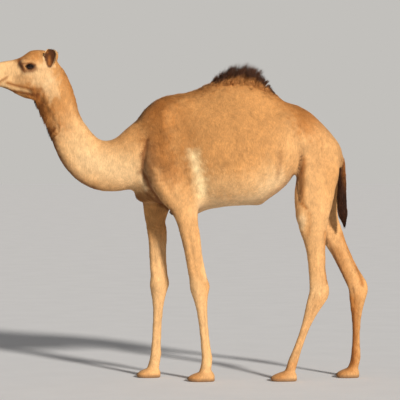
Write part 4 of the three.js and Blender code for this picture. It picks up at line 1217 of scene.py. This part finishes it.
def tuft_mesh(name, spines, across, widths, thickness, spots, shades, facing=None):
    """One mesh of many closed tapering tufts.

    spines is (tufts, points along, 3), from root to tip, and across gives the side of each
    tuft. Every tuft is three-sided and ends in a point. shades is one colour for each tuft, or
    one for each point along it. facing is the skin's normal at each root, for tufts that take
    the light as the skin does.
    """
    tufts, along = spines.shape[:2]
    rings = along - 1
    step = np.diff(spines, axis=1)
    ahead = unit(np.concatenate([step, step[:, -1:]], axis=1))
    side = unit(across[:, None, :] - np.sum(across[:, None, :] * ahead, axis=2, keepdims=True)
                * ahead)
    rise = np.cross(ahead, side)
    per_tuft = rings * 3 + 1
    points = np.empty((tufts, per_tuft, 3))
    taper = np.linspace(1.0, 0.45, rings) if rings > 1 else np.ones(1)
    for ring in range(rings):
        half = (widths * taper[ring] / 2)[:, None]
        deep = (thickness * taper[ring])[:, None]
        middle = spines[:, ring]
        points[:, ring * 3] = middle + side[:, ring] * half
        points[:, ring * 3 + 1] = middle - side[:, ring] * half
        points[:, ring * 3 + 2] = middle + rise[:, ring] * deep
    points[:, -1] = spines[:, -1]
    every = (np.arange(tufts)[:, None, None] * per_tuft + tuft_faces(rings)).reshape(-1, 3)
    mesh = bpy.data.meshes.new(name)
    mesh.vertices.add(tufts * per_tuft)
    mesh.vertices.foreach_set("co", points.astype(np.float32).ravel())
    mesh.loops.add(len(every) * 3)
    mesh.loops.foreach_set("vertex_index", every.ravel().astype(np.int32))
    mesh.polygons.add(len(every))
    mesh.polygons.foreach_set("loop_start", np.arange(0, len(every) * 3, 3, dtype=np.int32))
    mesh.polygons.foreach_set("use_smooth", [True] * len(every))
    mesh.update(calc_edges=True)
    placed = (spots[:, None, :] + tuft_patch(rings)[None]).reshape(-1, 2)
    layer = mesh.uv_layers.new(name="OFBake")
    layer.uv.foreach_set("vector", placed[every.ravel()].astype(np.float32).ravel())
    tips = np.append(np.repeat(np.linspace(0.93, 1.0, rings), 3), 1.08)[None, :, None]
    if shades.ndim == 2:
        shades = np.repeat(shades[:, None, :], along, axis=1)
    ring_of_point = np.append(np.repeat(np.arange(rings), 3), rings)
    store_colours(mesh, np.clip(shades[:, ring_of_point] * tips, 0, 1).reshape(-1, 3))
    if facing is not None:
        lean = np.append(np.tile([0.45, -0.45, 0.0], rings), 0.0)[None, :, None]
        soft = unit(facing[:, None, :] + lean * side[:, :1])
        mesh.normals_split_custom_set_from_vertices(soft.reshape(-1, 3).astype(np.float32))
    return mesh


CURL = 0.35          # how far a tuft that stands off the skin bends back to it
SUNK = 0.0003        # how deep its root is in the skin
THINNEST, THICKEST = 0.0012, 0.0060


def curved_spines(places, facing, lie, length, slope, along):
    """Points along each tuft: off the skin at its slope, then laid down by its curl."""
    share = np.linspace(0.0, 1.0, along)[None, :, None]
    length, slope = length[:, None, None], slope[:, None, None]
    rise = slope * share - CURL * slope * share ** 2
    return (places - SUNK * facing)[:, None, :] + length * (
        share * lie[:, None, :] + rise * facing[:, None, :])


def grow_tufts(name, roots, count, density, seed, along, size, wide, clump):
    """A piece of coat: count tufts, as long as the coat is where each of them grows."""
    chance = np.random.default_rng(seed + 1000)
    places, facing, spots = roots.choose(count, density, seed)
    lie = lie_of(places, facing)
    side = np.cross(facing, lie)
    sway = chance.normal(0.0, 0.16 + clump, count)[:, None]
    lie = unit(lie + sway * side)
    side = np.cross(facing, lie)
    length, slope = coat_at(places)
    length = length * size * chance.uniform(0.75, 1.25, count)
    slope = slope * chance.uniform(0.7, 1.35, count)
    widths = np.clip(length * wide, THINNEST, THICKEST) * chance.uniform(0.8, 1.25, count)
    spines = curved_spines(places, facing, lie, length, slope, along)
    shades = marked(places, facing) * chance.uniform(0.93, 1.09, count)[:, None]
    mesh = tuft_mesh(name, spines, side, widths, widths * 0.34, spots, shades, facing=facing)
    mesh.materials.append(hair_material)
    shown(name, mesh, "coat_body")


SOLE_TOP = 0.012
EYE_REACH = 0.04     # the openings between the lids lie within this of the eyes' centres


def bare_share(points):
    """1 where no hair grows: in the eyes' openings, the mouth and nostrils, and on the soles."""
    bare = (points[:, 2] < SOLE_TOP) * 1.0
    for side in SIDES:
        centre, out, ahead, upward = eye_frame(side)
        offset = points - centre
        reach = np.linalg.norm(offset, axis=1)
        scale = EYE_RADIUS / np.maximum(reach, 1e-6)
        gap = lid_gap(offset @ ahead * scale, offset @ upward * scale)
        opening = (reach < EYE_REACH) * (offset @ out > 0) * smoothstep(0.004, 0.001, gap)
        bare = np.maximum(bare, opening)
    for path in mirrored(MOUTH) + mirrored(NOSTRIL):
        distance, _ = path_distance(points, path)
        bare = np.maximum(bare, smoothstep(0.007, 0.004, distance))
    return bare


# Where one piece of the coat ends and the next starts.
HEAD_REAR, HEAD_UNDER = -0.80, 1.84
NECK_REAR = -0.25
LEGS_TOP = 1.02
BARREL_MIDDLE = 0.30

roots = Roots(skin_mesh)
middles = roots.middles
covered = 1.0 - bare_share(middles)
face = face_share(middles)
head_part = (middles[:, 0] < HEAD_REAR) & (middles[:, 2] > HEAD_UNDER)
neck_part = (middles[:, 0] < NECK_REAR) & ~head_part
leg_part = ~neck_part & ~head_part & (middles[:, 2] < LEGS_TOP)
fore_part = ~(neck_part | head_part | leg_part) & (middles[:, 0] < BARREL_MIDDLE)
rear_part = ~(neck_part | head_part | leg_part | fore_part)
hair_length, _ = coat_at(middles)
woolly = smoothstep(0.020, 0.028, hair_length)

# Points along a tuft, its length and width as shares of the coat's length, and how far
# neighbours cross each other.
SHORT = (2, 1.0, 0.17, 0.0)
LONG = (3, 1.25, 0.11, 0.10)
# Piece, tufts, density, seed, kind of tuft.
COATS = (
    ("coat_head", 42000, head_part * (1.0 + 1.5 * face), 1, SHORT),
    ("coat_neck", 36000, neck_part * 1.0, 2, SHORT),
    ("coat_front", 42000, fore_part * (1.0 - 0.5 * woolly), 3, SHORT),
    ("coat_rear", 45000, rear_part * (1.0 - 0.5 * woolly), 4, SHORT),
    ("coat_legs", 42000, leg_part * (1.0 + 1.0 * smoothstep(0.14, 0.05, middles[:, 2])), 5, SHORT),
    ("wool", 17000, woolly * (fore_part | rear_part), 6, LONG),
    ("mane", 10000, woolly * (neck_part | head_part), 7, LONG),
)
for name, count, density, seed, kind in COATS:
    grow_tufts(name, roots, count, density * covered, seed, *kind)


# ------------------------------------------------------------------ long dark hair
def hair_piece(name, spines, side, widths, spots, shades, *nodes):
    """A piece of long dark hair, grown along spines."""
    mesh = tuft_mesh(name, spines, side, widths, widths * 0.5, spots, shades)
    mesh.materials.append(dark_hair_material)
    shown(name, mesh, "dark_hair", *nodes)


def dark_hair():
    """Long hair: stored colours with fine strands."""
    shader = Shader("long_dark_hair", 0.62, Specular_IOR_Level=0.35)
    strands = shader.noise(220.0, 3.0, (1.0, 1.0, 0.15))
    shader.paint(shader.scaled(shader.stored_colour(), shader.span(strands, 0.75, 1.25)))
    shader.bump(strands, 0.0006)
    return shader.material


dark_hair_material = dark_hair()

CREST_SEED = 90
CREST_LOCKS = 12000
CREST_CLUMPS = 260
CREST_REAR = (0.60, 0.67)      # x over which its locks grow short
CREST_DEPTH = 0.045            # how far down the hump's sides it grows
CREST_WIDTHS = (0.0020, 0.0042)
# Top of the hump's tuft in side view.
CREST_TOP_X = (0.195, 0.250, 0.300, 0.375, 0.440, 0.495, 0.550, 0.600, 0.640, 0.680)
CREST_TOP_Z = (1.975, 2.042, 2.088, 2.118, 2.106, 2.080, 2.016, 1.950, 1.900, 1.862)
# The line above which its hair is dark.
CREST_DARK_X = (0.150, 0.243, 0.314, 0.391, 0.473, 0.533, 0.590, 0.639, 0.680)
CREST_DARK_Z = (1.946, 1.964, 1.986, 1.998, 1.992, 1.966, 1.932, 1.878, 1.846)


def crest_shades(chance, places, facing, spines):
    """Dark above the tuft's line and the coat's colour below it, with a warm edge between."""
    depth = smoothstep(0.15, 0.9, chance.uniform(size=CREST_LOCKS))[:, None]
    brown = smoothstep(0.60, 1.0, chance.uniform(size=CREST_LOCKS))[:, None]
    dark = NEAR_BLACK + depth * (CHOCOLATE - NEAR_BLACK)
    dark = dark + 0.7 * brown * (UMBER - dark)
    coat = marked(places, facing) * chance.uniform(0.9, 1.08, CREST_LOCKS)[:, None]
    ragged = 0.012 * waves(places, 0.05, CREST_SEED + 3) + chance.normal(0, 0.006, CREST_LOCKS)
    line = np.interp(spines[:, :, 0], CREST_DARK_X, CREST_DARK_Z) + ragged[:, None]
    share = smoothstep(-0.022, 0.006, spines[:, :, 2] - line)[:, :, None]
    coat, dark = coat[:, None], dark[:, None]
    warm = 4.0 * share * (1.0 - share)
    return coat + share * (dark - coat) + 0.35 * warm * (UMBER - dark)


def grow_crest(roots):
    """A mop of dark locks on top of the hump, standing up and combed back."""
    chance = np.random.default_rng(CREST_SEED)
    low, high = box("hump_crest")
    x, y, z = roots.middles.T
    inside = (x > low[0]) & (x < CREST_TOP_X[-1]) & (np.abs(y) < high[1]) & (z > 1.75)
    stations = np.linspace(low[0], CREST_TOP_X[-1], 26)
    ridge = [z[inside & (np.abs(x - station) < 0.015)].max() for station in stations]
    below = np.interp(x, stations, ridge) - z
    density = inside * smoothstep(0.048, 0.010, below)
    places, facing, spots = roots.choose(CREST_LOCKS, density, CREST_SEED + 1)
    top = np.interp(places[:, 0], CREST_TOP_X, CREST_TOP_Z)
    outward = places[:, 1] / high[1]
    under = np.interp(places[:, 0], stations, ridge) - places[:, 2]
    short = smoothstep(*CREST_REAR, places[:, 0])
    room = np.maximum(top - places[:, 2] - under, 0.018 - 0.010 * short) * (
        1.0 - 0.75 * smoothstep(0.0, CREST_DEPTH, under)) * (1.0 - 0.35 * short)
    # Locks lean together in clumps, each with a height and a lean of its own.
    clump = chance.integers(0, CREST_CLUMPS, CREST_CLUMPS)
    centres, clump_tall = places[clump], chance.uniform(0.70, 1.12, CREST_CLUMPS)
    clump_lean = chance.normal(0, 0.22, (CREST_CLUMPS, 2))
    nearest = np.argmin(np.linalg.norm(
        places[:, None, :2] - centres[None, :, :2], axis=2), axis=1)
    length = room * clump_tall[nearest] * chance.uniform(0.70, 1.10, CREST_LOCKS)
    pull = (centres[nearest] - places)[:, :2] / np.maximum(length, 0.03)[:, None]
    way = np.column_stack([
        0.30 + clump_lean[nearest, 0] + 0.5 * pull[:, 0] + chance.normal(0, 0.14, CREST_LOCKS),
        outward * 0.55 + clump_lean[nearest, 1] + 0.5 * pull[:, 1]
        + chance.normal(0, 0.14, CREST_LOCKS),
        np.ones(CREST_LOCKS)])
    way = unit(way)
    droop = np.column_stack([np.full(CREST_LOCKS, 0.35), outward * 0.5,
                             np.full(CREST_LOCKS, -0.30)])
    share = np.linspace(0, 1, 4)[None, :, None]
    size = length[:, None, None]
    spines = (places - 0.004 * facing)[:, None] + size * (
        share * way[:, None] + 0.45 * share ** 2 * droop[:, None])
    side = unit(np.cross(way, chance.normal(size=(CREST_LOCKS, 3))))
    shades = crest_shades(chance, places, facing, spines)
    hair_piece("crest_hair", spines, side, chance.uniform(*CREST_WIDTHS, CREST_LOCKS),
               spots, shades, "hump_crest")


TAIL_SEED = 95
TAIL_LOCKS = 7000
TAIL_LEVELS = 15               # where the solid's width is read, from its top down
TAIL_WIDTHS = (0.0022, 0.0042)


def sections(node, levels):
    """The middle and the half size of a solid at each level."""
    rows = coordinates(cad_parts[node].data)
    rings = [rows[np.abs(rows[:, 2] - level) < 0.035] for level in levels]
    low, high = np.array([(ring.min(axis=0), ring.max(axis=0)) for ring in rings]).swapaxes(0, 1)
    return (low + high) / 2, (high - low) / 2


def grow_tail(roots):
    """The switch: long dark hair that hangs from the last third of the tail."""
    chance = np.random.default_rng(TAIL_SEED)
    low, high = box("tail_tuft")
    tail_low, _ = box("tail")
    x, y, z = roots.middles.T
    near = (x > low[0] - 0.04) & (np.abs(y) < 0.05) & (z < tail_low[2] + 0.10) & (z > 1.25)
    _, _, spots = roots.choose(TAIL_LOCKS, near * 1.0, TAIL_SEED + 1)
    levels = np.linspace(high[2], low[2], TAIL_LEVELS)
    middle, half = sections("tail_tuft", levels)

    def within(share, spin, spread):
        """A place in the tuft, by its share of the way down and round and out."""
        at = np.clip(share, 0, 1) * (len(levels) - 1)
        steps = np.arange(len(levels))
        place = [np.interp(at, steps, middle[:, i]) for i in range(3)]
        width = [np.interp(at, steps, half[:, i]) for i in range(2)]
        pressed = 0.011 * bell(share, 0.16)      # against the thighs near its root
        return np.column_stack([
            place[0] - pressed + np.cos(spin) * (width[0] + pressed) * spread,
            place[1] + np.sin(spin) * width[1] * spread,
            high[2] + (low[2] - high[2]) * share])

    start = chance.uniform(-0.30, 0.62, TAIL_LOCKS)
    reach = chance.uniform(0.22, 0.48, TAIL_LOCKS)
    reach = np.minimum(reach, 1.0 - 0.16 * chance.uniform(size=TAIL_LOCKS) ** 2 - start)
    spin = chance.uniform(0, 2 * math.pi, TAIL_LOCKS)
    spread = chance.uniform(0.35, 1.0, TAIL_LOCKS) ** 0.5
    steps = np.linspace(0, 1, 4)
    spines = np.stack([
        within(start + reach * step, spin + 0.25 * step,
               spread * (0.55 + 0.45 * min(step * 2.5, 1.0))
               * (1.0 - 0.8 * smoothstep(0.72, 1.0, start + reach * step)))
        for step in steps], axis=1)
    spines[:, 1:] += chance.normal(0, 0.0022, (TAIL_LOCKS, 3, 3)) * (1.0, 1.0, 0.0)
    side = unit(np.cross(spines[:, 1] - spines[:, 0], chance.normal(size=(TAIL_LOCKS, 3))))
    light = smoothstep(0.10, -0.20, start) * smoothstep(-0.6, 0.6, np.cos(spin))
    shades = NEAR_BLACK + (0.62 * chance.uniform(size=TAIL_LOCKS))[:, None] * (UMBER - NEAR_BLACK)
    shades = shades + (0.75 * light)[:, None] * (RUST - shades)
    hair_piece("tail_hair", spines, side, chance.uniform(*TAIL_WIDTHS, TAIL_LOCKS),
               spots, shades, "tail_tuft")


LASH_SEED = 97
UPPER_LASHES = 95
LOWER_LASHES = 42
LASH_WIDTH = 0.0010


def grow_lashes(roots, side):
    """Long lashes along both lids, the upper ones drooping over the eye."""
    chance = np.random.default_rng(LASH_SEED)
    centre, out, ahead, upward = eye_frame(side)
    rim = EYE_RADIUS + LID_RIM
    spines = []
    for count, height, length, lean in (
            (UPPER_LASHES, UPPER_LID, 0.025, -0.10), (LOWER_LASHES, -LOWER_LID, 0.010, -0.75)):
        place = np.linspace(-0.97, 0.97, count) + chance.normal(0, 0.01, count)
        along = place * EYE_OPENING
        rise = height * (1.0 - np.abs(place) ** 2.2) + np.sign(height) * 0.0008
        depth = np.sqrt(np.maximum(rim ** 2 - along ** 2 - rise ** 2, 1e-6))
        start = centre + along[:, None] * ahead + rise[:, None] * upward + depth[:, None] * out
        size = length * (1.0 - 0.45 * np.abs(place) ** 2) * chance.uniform(0.8, 1.15, count)
        way = unit(out + 0.65 * place[:, None] * ahead + lean * upward
                   + chance.normal(0, 0.05, (count, 3)))
        bend = upward * (-0.42 if height > 0 else 0.25)
        share = np.linspace(0, 1, 5)[None, :, None]
        spines.append((start - 0.002 * way)[:, None] + size[:, None, None] * (
            share * way[:, None] + share ** 2 * bend))
    spines = np.concatenate(spines)
    count = len(spines)
    near = np.linalg.norm(roots.middles - centre, axis=1) < 0.034
    _, _, spots = roots.choose(count, near * 1.0, LASH_SEED + 1)
    across = unit(np.cross(spines[:, 1] - spines[:, 0], upward))
    hair_piece("eyelashes_" + side, spines, across, np.full(count, LASH_WIDTH), spots,
               np.tile(NEAR_BLACK, (count, 1)))


grow_crest(roots)
grow_tail(roots)
for side in SIDES:
    grow_lashes(roots, side)


# ------------------------------------------------------------------ eyes
IRIS = 0.0165      # half width of the dark ring round the pupil
PUPIL = (0.0086, 0.0048)   # half width and height
BALL_TINT = colour(34, 21, 15)
IRIS_TINT = colour(50, 26, 12)
PUPIL_TINT = colour(6, 5, 6)
CORNEA = 0.0012    # how far the clear front stands off the ball
LID_PLAY = 0.0004  # how far the ball stays inside the radius that the lids wrap


def eye_material():
    """Stored colours under a wet film."""
    shader = Shader("eyeball", 0.10, Coat_Weight=0.35, Coat_Roughness=0.03,
                    Specular_IOR_Level=0.25)
    fibres = shader.noise(900.0, 2.0)
    shader.paint(shader.scaled(shader.stored_colour(), shader.span(fibres, 0.8, 1.2)))
    return shader.material


def add_eye(side, material):
    """A dark eyeball with a brown iris and a wide pupil, seen between the lids."""
    centre, out, ahead, upward = eye_frame(side)
    ball = bmesh.new()
    bmesh.ops.create_uvsphere(ball, u_segments=72, v_segments=54, radius=1.0)
    mesh = from_bmesh(ball, "eyeball_" + side)
    local = coordinates(mesh)
    level = local[:, 2]
    along, rise = local[:, 0] * EYE_RADIUS, local[:, 1] * EYE_RADIUS
    off = np.hypot(along, rise)
    bulge = CORNEA * smoothstep(IRIS * 1.15, 0.0, off) * (level > 0)
    rows = local * (EYE_RADIUS + bulge - LID_PLAY)[:, None]
    set_coordinates(mesh, centre + rows[:, :1] * ahead + rows[:, 1:2] * upward + rows[:, 2:] * out)
    pupil = smoothstep(1.15, 0.9, np.hypot(along / PUPIL[0], rise / PUPIL[1]))
    iris = smoothstep(IRIS, IRIS * 0.9, off)
    spokes = 0.85 + 0.15 * np.sin(np.arctan2(rise, along) * 34.0)
    shades = np.tile(BALL_TINT, (len(local), 1))
    shades += iris[:, None] * (IRIS_TINT * spokes[:, None] - shades)
    shades += pupil[:, None] * (PUPIL_TINT - shades)
    store_colours(mesh, shades)
    shade_smooth(mesh)
    with edited(mesh) as work:
        bmesh.ops.recalc_face_normals(work, faces=work.faces)
    mesh.materials.append(material)
    shown("eyeball_" + side, mesh, "eye", "eye_" + side)


eye_look = eye_material()
for side in SIDES:
    add_eye(side, eye_look)


# ------------------------------------------------------------------ horn and callus
NAIL_STEP, NAIL_ROUNDS = 0.0016, 6     # mesh step, and how often it is smoothed
PAD_STEP, PAD_ROUNDS = 0.004, 12
PAD_LENGTH = 0.90       # of its solid's, so that from the side its rear end hides behind the elbow


def horn_material():
    """Dark brown horn with paler bands and dull flecks."""
    shader = Shader("horn", 0.42, Specular_IOR_Level=0.45)
    bands = shader.noise(60.0, 4.0, (1.0, 0.25, 1.0))
    flecks = shader.noise(320.0, 3.0)
    shader.paint(shader.mix(shader.span(bands, 0.0, 1.0), colour(70, 52, 38), colour(128, 100, 72)))
    shader.wire(shader.span(flecks, 0.34, 0.62), shader.surface.inputs["Roughness"])
    shader.bump(shader.arithmetic("ADD", bands, flecks), 0.0008)
    return shader.material


def callus_material():
    """Dark, dry plates with worn places and cracks between them."""
    shader = Shader("callus", 0.78)
    cracks = shader.node("ShaderNodeTexVoronoi", feature="DISTANCE_TO_EDGE")
    cracks.inputs["Scale"].default_value = 70.0
    shader.wire(shader.place((1, 1, 1)), cracks.inputs["Vector"])
    plates = shader.span(cracks.outputs["Distance"], 0.0, 1.0, 0.0, 0.12)
    wear = shader.noise(26.0, 4.0)
    worn = shader.mix(shader.span(wear, 0.0, 1.0), colour(92, 70, 54), colour(146, 116, 90))
    shader.paint(shader.mix(plates, colour(58, 42, 32), worn))
    shader.wire(shader.span(wear, 0.68, 0.88), shader.surface.inputs["Roughness"])
    shader.bump(plates, 0.0012)
    return shader.material


def remade(node, name, step, rounds, material, slot):
    """A CAD node's solid as a smooth, fine mesh of its own, which replaces it."""
    solid = link(name + "_solid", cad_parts[node].data.copy())
    mesh = with_modifier(solid, "REMESH", mode="VOXEL", voxel_size=step)
    bpy.data.objects.remove(solid)
    relaxer = Relaxer(mesh)
    points = relaxer.smooth(coordinates(mesh), rounds)
    set_coordinates(mesh, np.clip(points, *box(node)))
    mesh.materials.clear()
    mesh.materials.append(material)
    shade_smooth(mesh)
    return shown(name, mesh, slot, node)


horn = horn_material()
for node in sorted(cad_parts):
    if "nail" in node:
        remade(node, "horn_" + node, NAIL_STEP, NAIL_ROUNDS, horn, "horn")
pad = remade("chest_pad", "chest_callus", PAD_STEP, PAD_ROUNDS, callus_material(), "callus")
rows = coordinates(pad.data)
front = rows[:, 0].min()
rows[:, 0] = front + PAD_LENGTH * (rows[:, 0] - front)
set_coordinates(pad.data, rows)


# ------------------------------------------------------------------ stage
FLOOR_RADIUS = 60.0


def floor_material():
    """Plain and pale, with a faint unevenness."""
    shader = Shader("floor", 0.9)
    grain = shader.noise(3.0, 4.0)
    shader.paint(shader.mix(shader.span(grain, 0.0, 1.0), colour(228, 231, 236),
                            colour(232, 235, 240)))
    return shader.material


def add_floor():
    """A round floor, far wider than the picture."""
    disc = bmesh.new()
    bmesh.ops.create_circle(disc, cap_ends=True, segments=96, radius=FLOOR_RADIUS)
    mesh = from_bmesh(disc, "floor")
    mesh.materials.append(floor_material())
    link("floor", mesh)


def add_sun(name, place, strength, softness, tint):
    """An even light from one side, as a far soft box gives. softness is its width in degrees."""
    lamp = bpy.data.lights.new(name, "SUN")
    lamp.energy = strength
    lamp.angle = math.radians(softness)
    lamp.color = tint
    sun = link(name, lamp)
    sun.location = place
    way = Vector(MIDDLE) - Vector(place)
    sun.rotation_euler = way.to_track_quat("-Z", "Y").to_euler()


def add_world(tint, strength, backdrop):
    """Even light from all round, and a pale backdrop as bright as the floor."""
    world = bpy.data.worlds.new("studio")
    world.use_nodes = True
    tree = world.node_tree
    light = tree.nodes["Background"]
    light.inputs["Color"].default_value = (*tint, 1.0)
    light.inputs["Strength"].default_value = strength
    wall = tree.nodes.new("ShaderNodeBackground")
    wall.inputs["Color"].default_value = (*backdrop, 1.0)
    seen = tree.nodes.new("ShaderNodeLightPath")
    either = tree.nodes.new("ShaderNodeMixShader")
    tree.links.new(seen.outputs["Is Camera Ray"], either.inputs["Fac"])
    tree.links.new(light.outputs["Background"], either.inputs[1])
    tree.links.new(wall.outputs["Background"], either.inputs[2])
    tree.links.new(either.outputs["Shader"], tree.nodes["World Output"].inputs["Surface"])
    bpy.context.scene.world = world


CAMERA_PLACE = (0.142, -16.0, 1.64)
CAMERA_PITCH = -1.626          # degrees
FOCAL_PIXELS = 2424.0
FRAME_PIXELS = 400.0
SENSOR = 36.0                  # mm
MIDDLE = (0.0, 0.0, 1.1)       # where the sun aims
KEY_PLACE = (6.8, -12.4, 7.3)
KEY_TINT = (1.0, 0.93, 0.84)
KEY_STRENGTH = 3.85
KEY_SOFTNESS = 6.0             # degrees
SKY_TINT = (1.0, 0.96, 0.92)
SKY_STRENGTH = 0.21
BACKDROP = (0.540, 0.527, 0.503)

add_floor()
add_sun("key", KEY_PLACE, KEY_STRENGTH, KEY_SOFTNESS, KEY_TINT)
add_world(SKY_TINT, SKY_STRENGTH, BACKDROP)
bpy.context.scene.view_settings.view_transform = "Standard"

lens = bpy.data.cameras.new("camera")
lens.sensor_width = SENSOR
lens.lens = FOCAL_PIXELS / FRAME_PIXELS * SENSOR
lens.clip_end = 200.0
camera = link("camera", lens)
camera.location = CAMERA_PLACE
camera.rotation_euler = (math.radians(90.0 + CAMERA_PITCH), 0.0, 0.0)
bpy.context.scene.camera = camera
